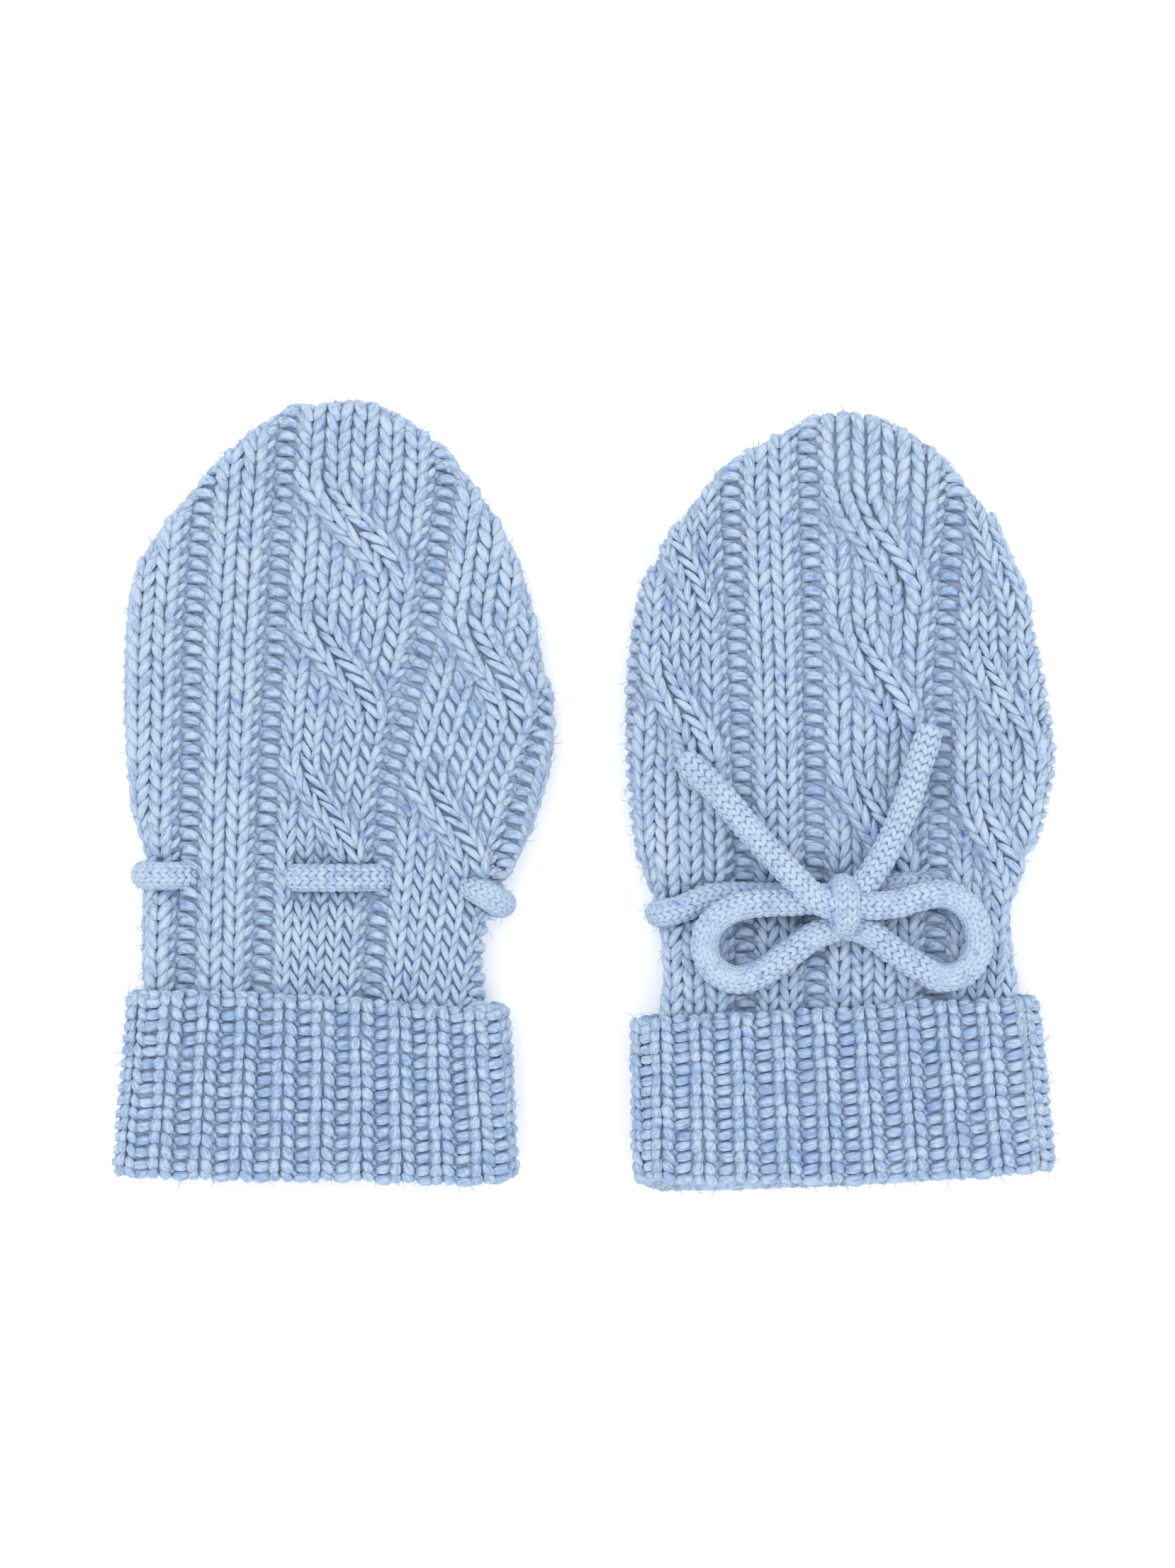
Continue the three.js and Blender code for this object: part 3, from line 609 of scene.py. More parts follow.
def knitCord(name, route, nodes, seed, roundEnd=False, backwards=False, closed=False):
    # A knitted tube of cord: a plain core and rounds of V stitches on it, closer together round a bend.
    path = smoothPath(route, 0.7)
    points, tangents, normals = framesAlong(path[:-1] if closed else path, closed)
    if closed:
        points, tangents, normals = points + points[:1], tangents + tangents[:1], normals + normals[:1]
    reach = reachAlong(path)
    length = reach[-1]

    def swell(place):
        left = length - place
        if not roundEnd or left > cordMake["radius"]:
            return 1.0
        return math.sqrt(max(0.02, 1 - (1 - left / cordMake["radius"]) ** 2))

    ring = path[:-1] if closed else path
    radii = [cordMake["core"] * swell(s) for s in reach[:len(ring)]]
    core = sweep(name, ring, radii, cordMake["sides"], 1.0, closed)
    core.data.materials.append(materials["cordCloth"])
    bends = [0.0] + [(after - before).length for before, after in zip(tangents, tangents[1:])]
    crowd = np.cumsum(np.diff(reach, prepend=0) + cordMake["radius"] * np.array(bends))
    rounds = round(crowd[-1] / cordMake["stitch"])
    width = 2 * math.pi * cordMake["radius"] / cordMake["columns"]
    half = width * 0.25 / cordMake["radius"]
    stitches = Stitches()
    for i in range(rounds + (0 if closed else 1)):
        place = float(np.interp(crowd[-1] * i / rounds, crowd, reach))
        j = max(0, min(int(np.searchsorted(reach, place)), len(points) - 1) - 1)
        share = (place - reach[j]) / (reach[j + 1] - reach[j])
        middle = points[j].lerp(points[j + 1], share)
        tangent = tangents[j].lerp(tangents[j + 1], share).normalized()
        normal = normals[j].lerp(normals[j + 1], share).normalized()
        side = tangent.cross(normal)
        forward = -tangent if backwards else tangent
        for column in range(cordMake["columns"]):
            angle = 2 * math.pi * (column + 0.5) / cordMake["columns"] + 0.004 * place
            tone = chance.random()
            for sign in (-1, 1):
                out = normal * math.cos(angle + sign * half) + side * math.sin(angle + sign * half)
                across = out.cross(forward) * (-1 if backwards else 1)
                axis = forward * math.cos(cordMake["lean"]) + across * sign * math.sin(cordMake["lean"])
                point = middle + out * cordMake["legHeight"] * swell(place)
                stitches.add(0, point, axis, out, (1, 1, 1), tone)
    knitted = stitches.piece(name + "_stitches", "cordLeg", "bump", "cord", seed, shift=0.04, sway=0.05)
    fuzz = addFuzz(name + "_fuzz", knitted, cordMake["fibres"], seed)
    for one in (core, knitted):
        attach(one, "root")
    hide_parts(*nodes)
    print(f"{name}: {length:.1f} mm of cord")
    return core


knitCord("left_cord", leftDrawstring, ["left_drawstring"], 11, backwards=True)
knitCord("right_cord", rightDrawstring, ["right_drawstring_left", "right_drawstring_right"], 12)
knitCord("bow_loop_left", leftLoop, ["right_loop_left"], 13)
knitCord("bow_loop_right", rightLoop, ["right_loop_right"], 14)
knitCord("bow_tail_left", leftTail, ["right_tail_left"], 15, roundEnd=True)
knitCord("bow_tail_right", rightTail, ["right_tail_right"], 16, roundEnd=True)


def squared(value, power):
    return math.copysign(abs(value) ** power, value)


wrapRoute = []
for turn in range(25):
    angle = 2 * math.pi * turn / 24
    wrapRoute.append((
        knotWrap["x"] + 0.3 * math.sin(angle),
        knotWrap["y"] + knotWrap["halfLength"] * squared(math.cos(angle), 0.75),
        knotWrap["z"] + knotWrap["halfHeight"] * squared(math.sin(angle), 0.6),
    ))
knitCord("bow_knot", wrapRoute, ["right_knot"], 17, closed=True)
print("cords made")


# Mittens
knit = {
    "row": 2.35, "wale": 4.1, "purlHalf": 2.4, "legRise": -0.35, "floorRise": -0.98, "shellDepth": 1.1,
    "lean": 0.38, "wall": 1.0, "fibres": 150000, "link": 0.7, "shellGrid": (64, 52), "edgeEase": 3.5,
    "past": 3.4, "below": 2.6, "roundTo": 104, "rim": 0.8, "bumpWidth": 3.6, "linkSize": (0.66, 0.66, 0.8),
}
# The yarn on a purl line in each row: step aside, rows up, lift, kind, and a bump's width or a link's side
purlYarn = [
    (0.3, 0.0, 0.5, "purl", 3.6), (-2.0, 0.45, 0.1, "link", 1), (2.4, -0.4, -0.2, "link", -1),
    (-0.2, 0.5, -0.35, "sink", 3.4),
]
handHeights = {
    "above": [-6, 0.6, 4.5, 8, 20, 60, 100],
    "low": [2.9, 2.9, 1, 0, 0, 0, 0],
    "high": [8.7, 8.7, 9, 9.2, 9.2, 8.6, 7.4],
}
trough = {"depth": 1.8, "halfWidth": 1.7}
strand = {
    "rise": 1.6, "halfWidth": 2.7, "halfLength": 8.4, "inset": 4.2, "lift": 0.7, "under": -0.55,
}
cordDip = {"depth": 3.4, "halfWidth": 4.2, "ease": 3}
handTuck = 3

leftMitten = {
    "name": "left",
    "wrist": (-72.7, -15.5),
    "leftSide": [
        (-73.3, -26), (-73.3, -18), (-72.9, -9.5), (-75, -1.5), (-76.2, 12), (-76.2, 24), (-74.9, 36),
        (-70, 45.3), (-63.4, 53), (-56.4, 60.3),
    ],
    "top": [(-56.4, 60.3), (-49.5, 64.8), (-42, 66.2), (-35.5, 66.2), (-29.5, 63.5), (-21.4, 57.1)],
    "rightSide": [
        (-16.3, -29), (-15.9, -22), (-11.6, -12.5), (-7.6, -3.5), (-5, 6), (-4.6, 14.5), (-6.4, 23),
        (-8.3, 32.5), (-11.5, 41.9), (-16.8, 50.7), (-21.4, 57.1),
    ],
    "purlRows": [-36, 3, 27, 50, 66],
    "purls": {
        "a": [-66, -65, -64.6, -63.1, -62], "b": [-53.5, -52.2, -51, -49.8, -49],
        "c": [-35.5, -32.2, -26.1, -23.2, -22], "d": [-17.5, -9.7, 0, 4, 6],
    },
    "fields": [("a", "b", 2, []), ("b", "c", 5, [44.2, 21.4, -1.5]), ("c", "d", 5, [21.4, -3.8])],
    "edge": ([-76, -61, -38, -20, -12], [-31.7, -31.4, -32.5, -34.2, -33.7]),
    "fold": ([-78, -58, -38, -20, -11], [-62.2, -63, -63.1, -63.8, -62.9]),
    "cuffLeft": (-75.8, -78.3),
    "cuffRight": (-12.3, -10.7),
    "lowerReach": (0, 0),
    "ribs": (0.032, 0.0982),
    "cordLine": ([-76, -41, -21, -12], [-12.6, -13, -14.4, -17.2]),
    "cordOutside": [(-80, -67.4), (-47.2, -34.6), (-18.4, -5)],
}
rightMitten = {
    "name": "right",
    "wrist": (11.4, 72.3),
    "leftSide": [
        (12.8, -31.5), (12.6, -24), (11.4, -17), (9.2, -11), (7.6, -1), (6.7, 12), (7.2, 24), (9.6, 35.5),
        (14.9, 44.8), (21.9, 54.4),
    ],
    "top": [(21.9, 54.4), (30.5, 60.1), (39.5, 64), (44.5, 64.5), (51, 62.8), (58.8, 57.7)],
    "rightSide": [
        (71.7, -28), (71.1, -19.5), (71.8, -14), (75.2, -7), (77.6, 2), (78.2, 8), (76.9, 17), (75, 27),
        (72.2, 38.4), (67.6, 47.2), (58.8, 57.7),
    ],
    "purlRows": [-36, 3, 27, 50, 66],
    "purls": {
        "z": [6, 5, 7, 9, 10], "a": [26.5, 25.9, 25, 24, 23.5], "b": [37.9, 37.8, 37.5, 36.9, 36.5],
        "c": [57.5, 58.4, 59.4, 61.2, 62], "d": [74, 79, 77, 76, 76],
    },
    "fields": [
        ("z", "a", 4, [38.6, 15]), ("a", "b", 2, []), ("b", "c", 4, [41.9, 20.2, -3.8]),
        ("c", "d", 4, [39, 16.1, -7.3]),
    ],
    "edge": ([7.9, 20.7, 44.2, 56, 75.6], [-36.2, -35.2, -34, -32.9, -32.4]),
    "fold": ([8.4, 20, 44, 62, 78], [-62.8, -63.4, -63.2, -62.6, -60.9]),
    "cuffLeft": (7.9, 8.4),
    "cuffRight": (75.6, 78.5),
    "lowerReach": (2.8, 1),
    "ribs": (0.066, 0.0995),
    "cordLine": ([10, 16.2, 20.7, 44, 54], [-18.9, -18, -16, -16.6, -13.9]),
    "cordOutside": [(5, 55.2)],
}


def smoothstep(value, low, high):
    t = np.clip((value - low) / (high - low), 0, 1)
    return t * t * (3 - 2 * t)


def bell(value):
    return np.exp(-value * value)


def purlAt(mitten, column, y):
    return np.interp(y, mitten["purlRows"], mitten["purls"][column])


def purlSlope(mitten, column, y):
    return float(purlAt(mitten, column, y + 1) - purlAt(mitten, column, y - 1)) / 2


def edgeAt(mitten, x):
    return np.interp(x, *mitten["edge"])


def shiftAt(mitten, x, y):
    # Height of the knitting above the plain cloth, less the drawstring's dip.
    height = np.zeros_like(x)
    for column in mitten["purls"]:
        height = height - trough["depth"] * bell((x - purlAt(mitten, column, y)) / trough["halfWidth"])
    for left, right, wales, crossings in mitten["fields"]:
        low = purlAt(mitten, left, y) + strand["inset"]
        high = purlAt(mitten, right, y) - strand["inset"]
        for crossing in crossings:
            rise = (y - crossing) / strand["halfLength"]
            centre = high + (low - high) * smoothstep(rise, -1.1, 1.1)
            fade = 1 - smoothstep(np.abs(rise), 0.85, 1.5)
            height = height + strand["rise"] * fade * bell((x - centre) / strand["halfWidth"])
    line = np.interp(x, *mitten["cordLine"])
    outside = np.zeros_like(x)
    for start, end in mitten["cordOutside"]:
        opened = smoothstep(x, start - cordDip["ease"], start + 1)
        outside = np.maximum(outside, opened * (1 - smoothstep(x, end - 1, end + cordDip["ease"])))
    return height - cordDip["depth"] * outside * bell((y - line) / cordDip["halfWidth"])


def outlineOf(mitten):
    # The hand's outline in plan: up the left side, over the tip and down the right side.
    def wristPoint(x):
        return (x, float(edgeAt(mitten, x)) - handTuck)

    left = [wristPoint(mitten["wrist"][0])] + mitten["leftSide"]
    right = [wristPoint(mitten["wrist"][1])] + mitten["rightSide"]
    return [smoothPath([(x, y, 0) for x, y in part], 0.8)[:, :2] for part in (left, mitten["top"], right)]


def edgeDistance(line, plan):
    # Signed distance inwards from the outline, and the direction outwards.
    start, end = line[:-1], line[1:]
    along = end - start
    size = np.maximum((along**2).sum(1), 1e-9)
    offset = plan[:, None, :] - start[None]
    share = np.clip((offset * along[None]).sum(2) / size[None], 0, 1)
    nearest = start[None] + share[:, :, None] * along[None]
    gap = plan[:, None, :] - nearest
    distance = np.linalg.norm(gap, axis=2)
    pick = distance.argmin(1)
    rows = np.arange(len(plan))
    gap, distance, along = gap[rows, pick], distance[rows, pick], along[pick]
    inside = along[:, 0] * gap[:, 1] - along[:, 1] * gap[:, 0] < 0
    leftward = np.stack([-along[:, 1], along[:, 0]], axis=1)
    leftward /= np.linalg.norm(leftward, axis=1)[:, None]
    straight = gap * np.where(inside, -1, 1)[:, None] / np.maximum(distance, 1e-6)[:, None]
    outward = np.where((distance > 0.4)[:, None], straight, leftward)
    return np.where(inside, distance, -distance), outward


def planDistance(mitten, plan):
    left, top, right = mitten["outline"]
    line = np.concatenate([[left[0] - (0, 30)], left, top[1:], right[::-1][1:], [right[0] - (0, 30)]])
    return edgeDistance(line, plan)


def bandAt(mitten, x, y):
    above = y - edgeAt(mitten, x)
    return (np.interp(above, handHeights["above"], handHeights[side]) for side in ("low", "high"))


def wrapPlan(mitten, plan, facing):
    # Lays flat places round the hand's surface: past the rounded edge a place goes down the side.
    distance, outward = planDistance(mitten, plan)
    low, high = bandAt(mitten, plan[:, 0], plan[:, 1])
    radius = (high - low) / 2
    past = np.maximum(radius - distance, 0)
    angle = past / radius
    inner = plan - outward * past[:, None]
    flat = inner + outward * (radius * np.sin(angle))[:, None]
    middle = (high + low) / 2
    z = middle + facing * radius * np.cos(angle)
    inward = radius * (1 - np.sin(angle)) + np.maximum(distance - radius, 0)
    inside = np.clip(inward / knit["edgeEase"], 0, 1)
    slope = np.zeros_like(plan)
    if facing > 0:
        z = z + inside * shiftAt(mitten, flat[:, 0], flat[:, 1])
        for axis in range(2):
            step = np.zeros(2)
            step[axis] = 0.3
            ahead, behind = flat + step, flat - step
            change = shiftAt(mitten, ahead[:, 0], ahead[:, 1]) - shiftAt(mitten, behind[:, 0], behind[:, 1])
            slope[:, axis] = inside * change / 0.6
    upright = (facing * np.cos(angle))[:, None]
    normal = np.concatenate([outward * np.sin(angle)[:, None] - slope, upright], axis=1)
    normal /= np.linalg.norm(normal, axis=1)[:, None]
    return np.column_stack([flat, z]), normal, angle, outward


def fieldRow(mitten, field, y, facing):
    # The knit stitches of one row between two purl lines. At a crossing two columns pass over the others,
    # from the right below to the left above, and the rest run under them.
    left, right, wales, crossings = field
    low = float(purlAt(mitten, left, y)) + knit["purlHalf"]
    width = (float(purlAt(mitten, right, y)) - knit["purlHalf"] - low) / wales
    near = [c for c in crossings if abs(y - c) < 1.4 * strand["halfLength"]] if facing > 0 else []
    if not near:
        return [(low + (k + 0.5) * width, 0.0, 0.0, width) for k in range(wales)]
    crossing = min(near, key=lambda c: abs(y - c))

    def centreAt(t):
        return low + width * (wales - 1 + (2 - wales) * float(smoothstep(t, -1.1, 1.1)))

    t = (y - crossing) / strand["halfLength"]
    step = 0.5 / strand["halfLength"]
    fade = float(1 - smoothstep(abs(t), 0.8, 1.3))
    made = []
    for k in range(wales):
        x = low + (k + 0.5) * width
        gap = abs(x - centreAt(t))
        if abs(t) < 1.1 and gap < 0.6 * width:
            continue
        under = float(1 - smoothstep(gap, 1.2 * width, 2.2 * width))
        made.append((x, 0.0, strand["under"] * fade * under, width))
    if abs(t) < 1.1:
        slope = centreAt(t + step) - centreAt(t - step)
        made.extend((centreAt(t) + side * width / 2, slope, strand["lift"] * fade, width) for side in (-1, 1))
    return made


def handStitches(mitten, facing):
    # Every stitch of one side of the hand: plan place, direction, lift, kind and width.
    rows = []
    bottom = min(mitten["edge"][1]) - 2.5
    y = bottom
    while y < 72:
        for column in mitten["purls"]:
            centre = float(purlAt(mitten, column, y))
            slope = purlSlope(mitten, column, y)
            for aside, up, lift, kind, width in purlYarn:
                rows.append((centre + aside, y + up * knit["row"], slope, lift, kind, width))
        for field in mitten["fields"]:
            for x, slope, lift, width in fieldRow(mitten, field, y, facing):
                rows.append((x, y, slope, lift, "knit", width))
        first = next(iter(mitten["purls"]))
        last = list(mitten["purls"])[-1]
        for column, sign in ((first, -1), (last, 1)):
            for k in range(5):
                x = float(purlAt(mitten, column, y)) + sign * (knit["purlHalf"] + (k + 0.5) * knit["wale"])
                rows.append((x, y, purlSlope(mitten, column, y), 0.0, "knit", knit["wale"]))
        y += knit["row"]
    return rows


def knitHand(mitten, facing, name, seed):
    rows = handStitches(mitten, facing)
    plan = np.array([(r[0], r[1]) for r in rows])
    distance, _ = planDistance(mitten, plan)
    keep = (distance > -knit["past"]) & (plan[:, 1] > edgeAt(mitten, plan[:, 0]) - knit["below"])
    rows = [row for row, kept in zip(rows, keep) if kept]
    places, normals, angles, outwards = wrapPlan(mitten, plan[keep], facing)
    stitches = Stitches()
    for row, place, normal, angle, outward in zip(rows, places, normals, angles, outwards):
        if angle > math.radians(knit["roundTo"]):
            continue
        x, y, slope, lift, kind, width = row
        out = Vector((*outward, 0))
        flat = Vector((slope, 1, 0))
        turned = out * math.cos(angle) - Vector((0, 0, facing)) * math.sin(angle)
        forward = flat - out * flat.dot(out) + turned * flat.dot(out)
        normal = Vector(normal)
        stretch = math.hypot(1, slope)
        rise = knit["legRise"] if facing > 0 and angle < knit["rim"] else knit["floorRise"]
        point = Vector(place) + normal * (rise + (lift if facing > 0 else 0))
        tone = chance.random()
        if kind == "knit":
            leans = (knit["lean"] / stretch, knit["lean"] / stretch)
            stitches.knit(point, forward, normal, width / stretch**0.6, stretch**0.8, leans, tone)
        elif kind in ("purl", "sink"):
            way = forward if kind == "purl" else -forward
            stitches.add(1, point, way, normal, (width / knit["bumpWidth"], 1, 1), tone)
        else:
            ahead = alongCloth(forward, normal)
            axis = ahead * math.cos(knit["link"]) + ahead.cross(normal) * width * math.sin(knit["link"])
            stitches.add(0, point, axis, normal, knit["linkSize"], tone)
    return stitches.piece(name, "leg" if facing > 0 else "plainLeg", "bump", "stitch", seed)


def bagShell(mitten, across, along):
    # The cloth under the stitches: the whole bag, open at the wrist, a little below its stitches.
    left, top, right = mitten["outline"]

    def at(line, share):
        reach = reachAlong(line)
        return np.array([np.interp(share * reach[-1], reach, line[:, k]) for k in range(2)])

    plan = []
    for j in range(along + 1):
        v = 1 - (1 - j / along) ** 1.5
        for i in range(across + 1):
            u = 0.5 - 0.5 * math.cos(math.pi * i / across)
            bottom = left[0] + (right[0] - left[0]) * u
            if 0 < u < 1:
                bottom = np.array([bottom[0], edgeAt(mitten, bottom[0]) - handTuck])
            sides = at(left, v) * (1 - u) + at(right, v) * u
            ends = bottom * (1 - v) + at(top, u) * v
            plane = (left[0] * (1 - u) + right[0] * u) * (1 - v) + (top[0] * (1 - u) + top[-1] * u) * v
            plan.append(sides + ends - plane)
    plan = np.array(plan)
    distance, _ = planDistance(mitten, plan)
    low, high = bandAt(mitten, plan[:, 0], plan[:, 1])
    radius = (high - low) / 2
    distance = np.maximum(distance, 0)
    bulge = radius * np.sqrt(1 - (1 - np.clip(distance / radius, 0, 1)) ** 2)
    middle = (high + low) / 2
    inside = np.clip(distance / knit["edgeEase"], 0, 1)
    upper = middle + bulge + inside * shiftAt(mitten, plan[:, 0], plan[:, 1])
    lower = middle - bulge
    verts, index = [], {}
    for face, heights in (("upper", upper), ("lower", lower)):
        for n, (point, z) in enumerate(zip(plan, heights)):
            j, i = divmod(n, across + 1)
            onEdge = i in (0, across) or j == along
            if face == "lower" and onEdge:
                index[face, j, i] = index["upper", j, i]
                continue
            index[face, j, i] = len(verts)
            verts.append((point[0] * mm, point[1] * mm, (middle[n] if onEdge else z) * mm))
    faces = []
    for face in ("upper", "lower"):
        for j in range(along):
            for i in range(across):
                corners = ((j, i), (j, i + 1), (j + 1, i + 1), (j + 1, i))
                quad = list(dict.fromkeys(index[face, *corner] for corner in corners))
                if len(quad) > 2:
                    faces.append(quad if face == "upper" else quad[::-1])
    mesh = bpy.data.meshes.new(mitten["name"])
    mesh.from_pydata(verts, [], faces)
    mesh.update()
    normals = [v.normal.copy() for v in mesh.vertices]
    for vertex, normal in zip(mesh.vertices, normals):
        vertex.co -= normal * knit["shellDepth"] * mm
    mesh.shade_smooth()
    piece = bpy.data.objects.new(mitten["name"] + "_hand_cloth", mesh)
    scene.collection.objects.link(piece)
    thicken = piece.modifiers.new("wall", "SOLIDIFY")
    thicken.thickness = knit["wall"] * mm
    thicken.offset = -1
    piece.data.materials.append(materials["cloth"])
    return settle(piece)


def planArea(mitten):
    left, top, right = mitten["outline"]
    line = np.concatenate([left, top[1:], right[::-1][1:]])
    x, y = line[:, 0], line[:, 1]
    return abs(np.dot(x, np.roll(y, 1)) - np.dot(y, np.roll(x, 1))) / 2


for mitten in (leftMitten, rightMitten):
    name = mitten["name"]
    mitten["outline"] = outlineOf(mitten)
    shell = bagShell(mitten, *knit["shellGrid"])
    upper = knitHand(mitten, 1, name + "_hand_stitches", 21)
    under = knitHand(mitten, -1, name + "_hand_underside", 22)
    fuzz = addFuzz(name + "_hand_fuzz", upper, knit["fibres"], 23)
    for piece in (shell, upper, under):
        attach(piece, "root")
    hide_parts(name + "_hand")
    mitten["handPieces"] = [upper, under, fuzz]
    mitten["handShell"] = shell
    area = 2 * planArea(mitten)
    print(f"{name} hand: {area:.0f} square mm of cloth all round, shell {trianglesOf(shell)} triangles")
print("hands made")


# Cuffs
cuffMake = {
    "layer": 2.6, "gap": 0.3, "halfHeight": 5.8, "ribRise": 1.0, "tuck": 3.3, "row": 2.05, "firstRow": 0.8,
    "straight": 27.5, "rise": -0.45, "floorRise": -1.3, "foldSink": 0.4, "step": 6.4, "shellDepth": 1.0,
    "shellColumns": 160, "fibres": 130000,
}
# The cuff's yarn: the stitches of a rib, the bumps between two ribs, the links beside them and the edge
ribKnit = {"width": 4.5, "length": 0.62, "leans": (0.5, 0.2), "lift": 0.2, "spread": 0.22, "pitch": 0.2}
ribPurl = {"spacing": 6.0, "width": 1.1, "tilt": 0.2, "shift": 0.3, "lift": 0.15}
ribLink = {"turn": 0.8, "aside": 1.5, "shift": 0.1, "sink": 0.2, "size": (0.62, 0.5, 0.8)}
ribEdge = {"aside": 1.2, "below": 0.2, "sink": 0.25, "size": (0.85, 1.1, 1.1)}
foldRadius = cuffMake["layer"] + cuffMake["gap"] / 2


def cuffPoint(mitten, share, angle, row):
    # A place on the turned-up ring, as in the solids: a share across, an angle round the edge, a row down.
    half = cuffMake["halfHeight"]
    leftEdge, leftFold = mitten["cuffLeft"]
    rightEdge, rightFold = mitten["cuffRight"]
    roughX = leftEdge + half + (rightEdge - leftEdge - 2 * half) * share + half * math.cos(angle)
    lower = float(smoothstep(-math.sin(angle), -0.9, 0.9))
    reach = (mitten["lowerReach"][0] * (1 - share) + mitten["lowerReach"][1] * share) * lower
    edge = float(edgeAt(mitten, roughX))
    fold = float(np.interp(roughX, *mitten["fold"])) - reach
    y = edge - row["below"] if "below" in row else fold + row["along"]
    if "share" in row:
        y += (fold + foldRadius - y) * row["share"]
    down = (edge - y) / (edge - fold)
    left = leftEdge + (leftFold - leftEdge) * down + half
    right = rightEdge + (rightFold - rightEdge) * down - half
    phase = (share * (right - left) + half) / (right - left + 2 * half)
    first, step = mitten["ribs"]
    rib = 0.5 - 0.5 * math.cos(2 * math.pi * (phase - first) / step)
    upper = min(1, max(0, math.sin(angle) + 0.3))
    radius = half - row["inset"] - cuffMake["ribRise"] * row["ribbed"] * upper * rib
    x = left + (right - left) * share + radius * math.cos(angle)
    return Vector((x, y, half + radius * math.sin(angle)))


def cuffRow(distance, straight):
    # The profile's row at a distance down the outside, then round the fold.
    if distance < straight:
        return {"below": 0.7, "share": max(0.0, distance / straight), "inset": 0, "ribbed": 1}
    angle = (distance - straight) / foldRadius
    if angle > math.pi:
        along = distance - straight - (math.pi - 1) * foldRadius
        return {"along": along, "inset": 2 * foldRadius, "ribbed": 0}
    return {
        "along": foldRadius * (1 - math.sin(angle)), "inset": foldRadius * (1 - math.cos(angle)),
        "ribbed": max(0, math.cos(angle)),
    }


def ringLength(width):
    return 2 * width + 2 * math.pi * cuffMake["halfHeight"]


def ringPlace(width, arc):
    # Share across and angle at an arc length round the flattened ring, from the top's left end.
    half = cuffMake["halfHeight"]
    arc %= ringLength(width)
    if arc < width:
        return arc / width, math.pi / 2
    arc -= width
    if arc < math.pi * half:
        return 1.0, math.pi / 2 - arc / half
    arc -= math.pi * half
    if arc < width:
        return 1 - arc / width, -math.pi / 2
    arc -= width
    return 0.0, -math.pi / 2 - arc / half


def ribPlaces(mitten, width):
    # Arc lengths of the knit ribs: ten counted on the top, the others evenly round the back.
    half = cuffMake["halfHeight"]
    first, step = mitten["ribs"]
    places = []
    for k in range(10):
        x = (first + k * step) * (width + 2 * half) - half
        if x < 0:
            places.append(-half * math.asin(min(1, -x / half)))
        elif x > width:
            places.append(width + half * math.asin(min(1, (x - width) / half)))
        else:
            places.append(x)
    last = places[-1]
    rest = places[0] + ringLength(width) - last
    count = round(rest / cuffMake["step"])
    return places + [last + rest * i / count for i in range(1, count)]


def knitCuff(mitten, name, seed):
    half = cuffMake["halfHeight"]
    width = (sum(mitten["cuffRight"]) - sum(mitten["cuffLeft"])) / 2 - 2 * half
    ribs = ribPlaces(mitten, width)
    straight = cuffMake["straight"]
    stitches = Stitches()

    def surfaceAt(arc, distance):
        share, angle = ringPlace(width, arc)
        return cuffPoint(mitten, share, angle, cuffRow(distance, straight))

    def frameAt(arc, distance):
        point = surfaceAt(arc, distance)
        down = (surfaceAt(arc, distance + 0.2) - surfaceAt(arc, distance - 0.2)).normalized()
        across = (surfaceAt(arc + 0.2, distance) - surfaceAt(arc - 0.2, distance)).normalized()
        normal = across.cross(-down).normalized()
        share, angle = ringPlace(width, arc)
        isTop = math.sin(angle) > 0.2 and distance < straight + 2
        rise = cuffMake["rise"] if isTop else cuffMake["floorRise"]
        if math.sin(angle) < -0.2 and distance > straight:
            rise -= cuffMake["foldSink"]
        return point + normal * rise, down, normal

    rowCount = int((straight + foldRadius * 2.9) / cuffMake["row"])
    following = ribs[1:] + [ribs[0] + ringLength(width)]
    for rib, after in zip(ribs, following):
        middle = (rib + after) / 2
        isUnder = ringPlace(width, middle)[1] < 0
        for j in range(rowCount + (3 if isUnder else 0)):
            distance = cuffMake["firstRow"] + j * cuffMake["row"]
            point, down, normal = frameAt(rib, distance)
            tone = chance.random()
            stitches.knit(
                point + normal * ribKnit["lift"], down, normal, ribKnit["width"], ribKnit["length"],
                ribKnit["leans"], tone, ribKnit["spread"], ribKnit["pitch"],
            )
            point, down, normal = frameAt(middle, distance)
            right = (-down).cross(normal)
            leaning = down * math.cos(ribPurl["tilt"]) + right * math.sin(ribPurl["tilt"])
            wide = (after - rib) / ribPurl["spacing"]
            place = point + normal * ribPurl["lift"] + right * ribPurl["shift"]
            stitches.add(1, place, leaning, normal, (wide * ribPurl["width"], 1, 1), chance.random())
            point, down, normal = frameAt(middle, distance + cuffMake["row"] / 2)
            for sign in () if isUnder else (-1, 1):
                axis = -down * math.cos(ribLink["turn"]) + right * sign * math.sin(ribLink["turn"])
                aside = (ribLink["aside"] * sign + ribLink["shift"]) * wide
                place = point + right * aside - normal * ribLink["sink"]
                stitches.add(0, place, axis, normal, ribLink["size"], tone)
        for arc in (rib - ribEdge["aside"], rib + ribEdge["aside"], middle):
            point, down, normal = frameAt(arc, ribEdge["below"])
            place = point - normal * ribEdge["sink"]
            stitches.add(1, place, -down, normal, ribEdge["size"], chance.random())
    return stitches.piece(name, "leg", "ribBump", "rib", seed, shift=0.16, sway=0.12)


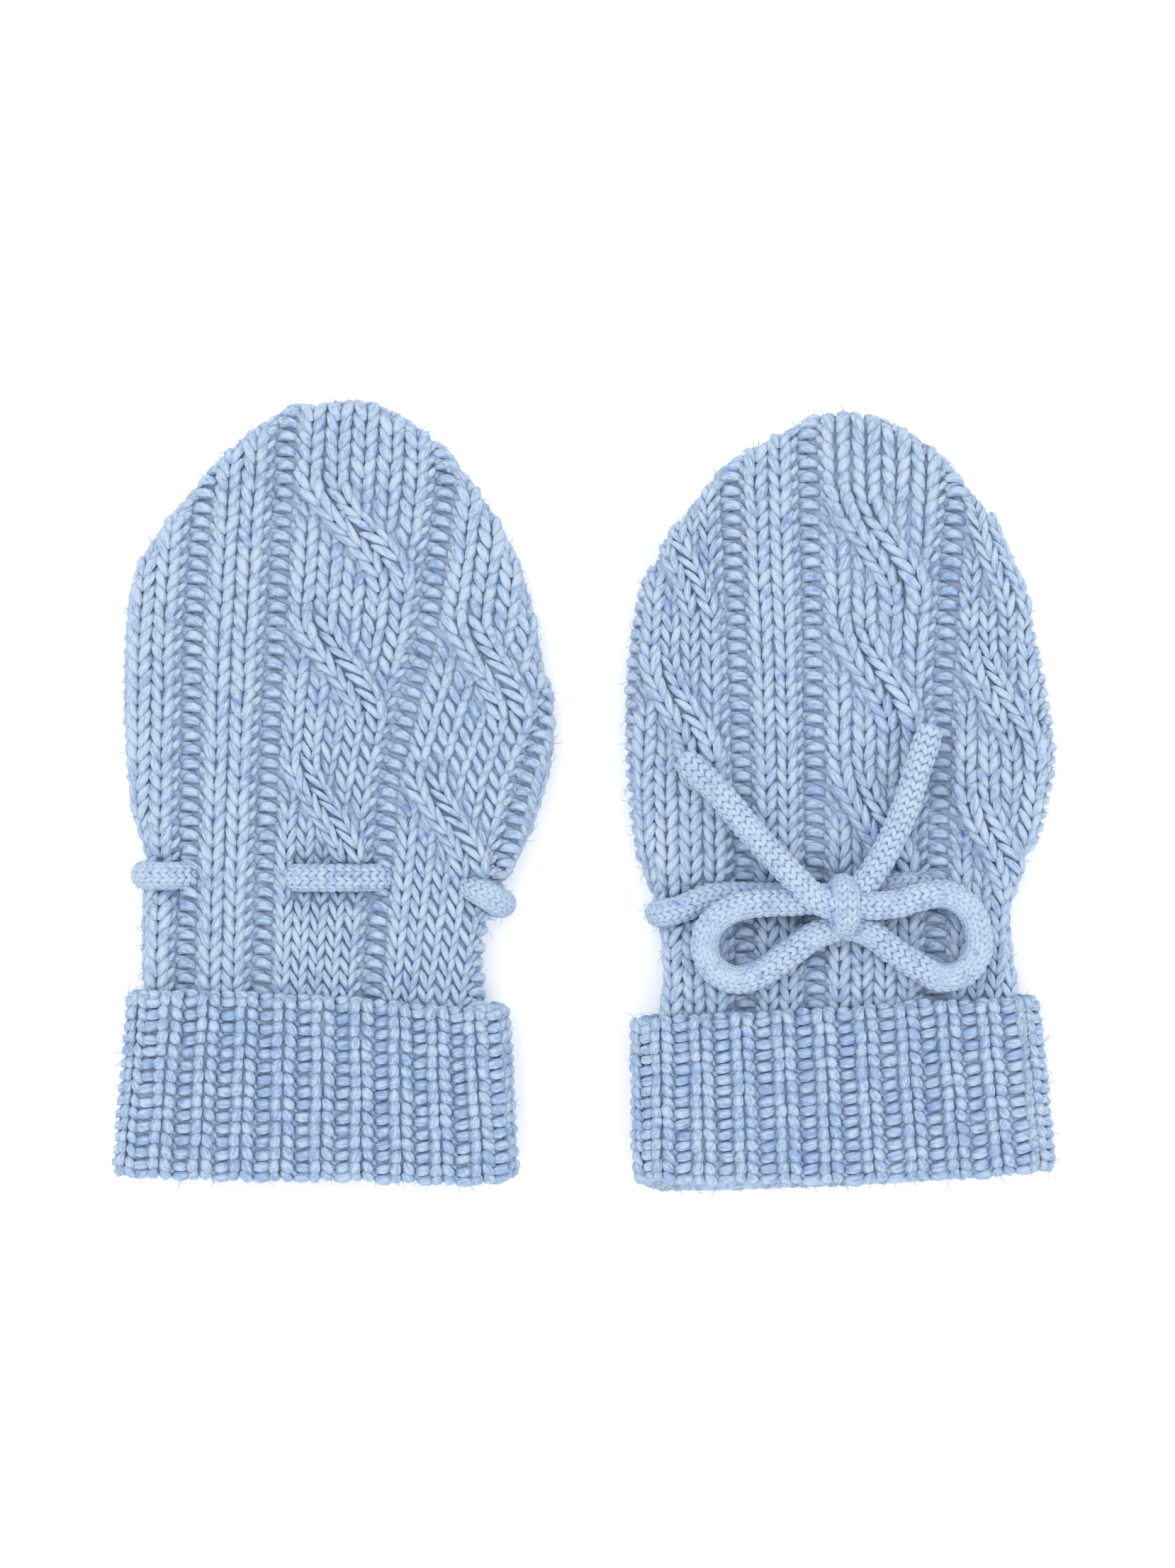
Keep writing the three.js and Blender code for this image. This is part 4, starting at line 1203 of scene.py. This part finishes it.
def cuffShell(mitten):
    # The cuff's cloth: outer layer, fold and inner layer, below the stitches.
    depth = cuffMake["shellDepth"]
    layer, gap = cuffMake["layer"], cuffMake["gap"]
    middle = layer + gap / 2
    rows = [{"below": depth, "inset": 0.8 + depth, "ribbed": 0.5}]
    rows += [{"below": depth + 0.5, "share": s, "inset": depth, "ribbed": 1} for s in (0, 0.25, 0.5, 0.75, 1)]
    for degrees in (30, 60, 90, 120, 150):
        angle = math.radians(degrees)
        radius = foldRadius - depth
        rows.append({
            "along": foldRadius - radius * math.sin(angle), "inset": middle - radius * math.cos(angle),
            "ribbed": max(0, math.cos(angle)),
        })
    rows += [
        {"along": foldRadius, "inset": 2 * foldRadius - depth * 0.5, "ribbed": 0},
        {"below": cuffMake["tuck"], "inset": 2 * foldRadius - depth * 0.5, "ribbed": 0},
        {"below": cuffMake["tuck"], "inset": middle + gap / 2, "ribbed": 0},
        {"along": foldRadius, "inset": middle + gap / 2, "ribbed": 0},
        {"along": foldRadius - gap / 2, "inset": middle, "ribbed": 0},
        {"along": foldRadius, "inset": middle - gap / 2, "ribbed": 0},
        {"below": depth, "inset": layer - 0.4, "ribbed": 0},
    ]
    half = cuffMake["halfHeight"]
    width = mitten["cuffRight"][0] - mitten["cuffLeft"][0] - 2 * half
    count = cuffMake["shellColumns"]
    verts = []
    for i in range(count):
        share, angle = ringPlace(width, ringLength(width) * i / count)
        verts.extend(tuple(cuffPoint(mitten, share, angle, row) * mm) for row in rows)
    size = len(rows)
    faces = []
    for i in range(count):
        for r in range(size):
            a, b = i * size + r, i * size + (r + 1) % size
            faces.append((a, b, (b + size) % len(verts), (a + size) % len(verts)))
    mesh = bpy.data.meshes.new(mitten["name"] + "_cuff_cloth")
    mesh.from_pydata(verts, [], faces)
    piece = finishMesh(mitten["name"] + "_cuff_cloth", mesh)
    piece.data.materials.append(materials["cloth"])
    return piece


for mitten in (leftMitten, rightMitten):
    name = mitten["name"]
    shell = cuffShell(mitten)
    stitches = knitCuff(mitten, name + "_cuff_stitches", 31)
    fuzz = addFuzz(name + "_cuff_fuzz", stitches, cuffMake["fibres"], 33)
    for piece in (shell, stitches):
        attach(piece, "root")
    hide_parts(name + "_cuff")
print("cuffs made")

for template in templates.values():
    bpy.data.objects.remove(template)


# Floor and light
studio = {
    "floor": (0.9, 0.9, 0.91), "floorGlow": 0.18, "world": (1.0, 0.99, 0.97), "worldStrength": 0.875,
    "lamps": [
        {"place": (-0.5, 0.35, 1.3), "size": 1.1, "power": 5.6},
        {"place": (0.6, -0.2, 1.2), "size": 1.2, "power": 4},
    ],
}


def makeStudio():
    mesh = bpy.data.meshes.new("floor")
    mesh.from_pydata([(-3, -3, 0), (3, -3, 0), (3, 3, 0), (-3, 3, 0)], [], [(0, 1, 2, 3)])
    floor = bpy.data.objects.new("floor", mesh)
    scene.collection.objects.link(floor)
    material = bpy.data.materials.new("pale floor")
    material.use_nodes = True
    shader = material.node_tree.nodes["Principled BSDF"]
    shader.inputs["Base Color"].default_value = (*studio["floor"], 1)
    shader.inputs["Roughness"].default_value = 0.9
    shader.inputs["Emission Color"].default_value = (1, 1, 1, 1)
    shader.inputs["Emission Strength"].default_value = studio["floorGlow"]
    mesh.materials.append(material)
    for lamp in studio["lamps"]:
        data = bpy.data.lights.new("softbox", "AREA")
        data.shape = "DISK"
        data.size = lamp["size"]
        data.energy = lamp["power"]
        light = bpy.data.objects.new("softbox", data)
        light.location = lamp["place"]
        light.rotation_euler = (-Vector(lamp["place"])).to_track_quat("-Z", "Y").to_euler()
        scene.collection.objects.link(light)
    world = bpy.data.worlds.new("studio")
    world.use_nodes = True
    background = world.node_tree.nodes["Background"]
    background.inputs["Color"].default_value = (*studio["world"], 1)
    background.inputs["Strength"].default_value = studio["worldStrength"]
    scene.world = world
    scene.view_settings.view_transform = "Standard"


makeStudio()
print("studio made")

total = sum(trianglesOf(o) for o in scene.objects if o.type == "MESH" and not o.hide_render)
print(f"{total} triangles shown")
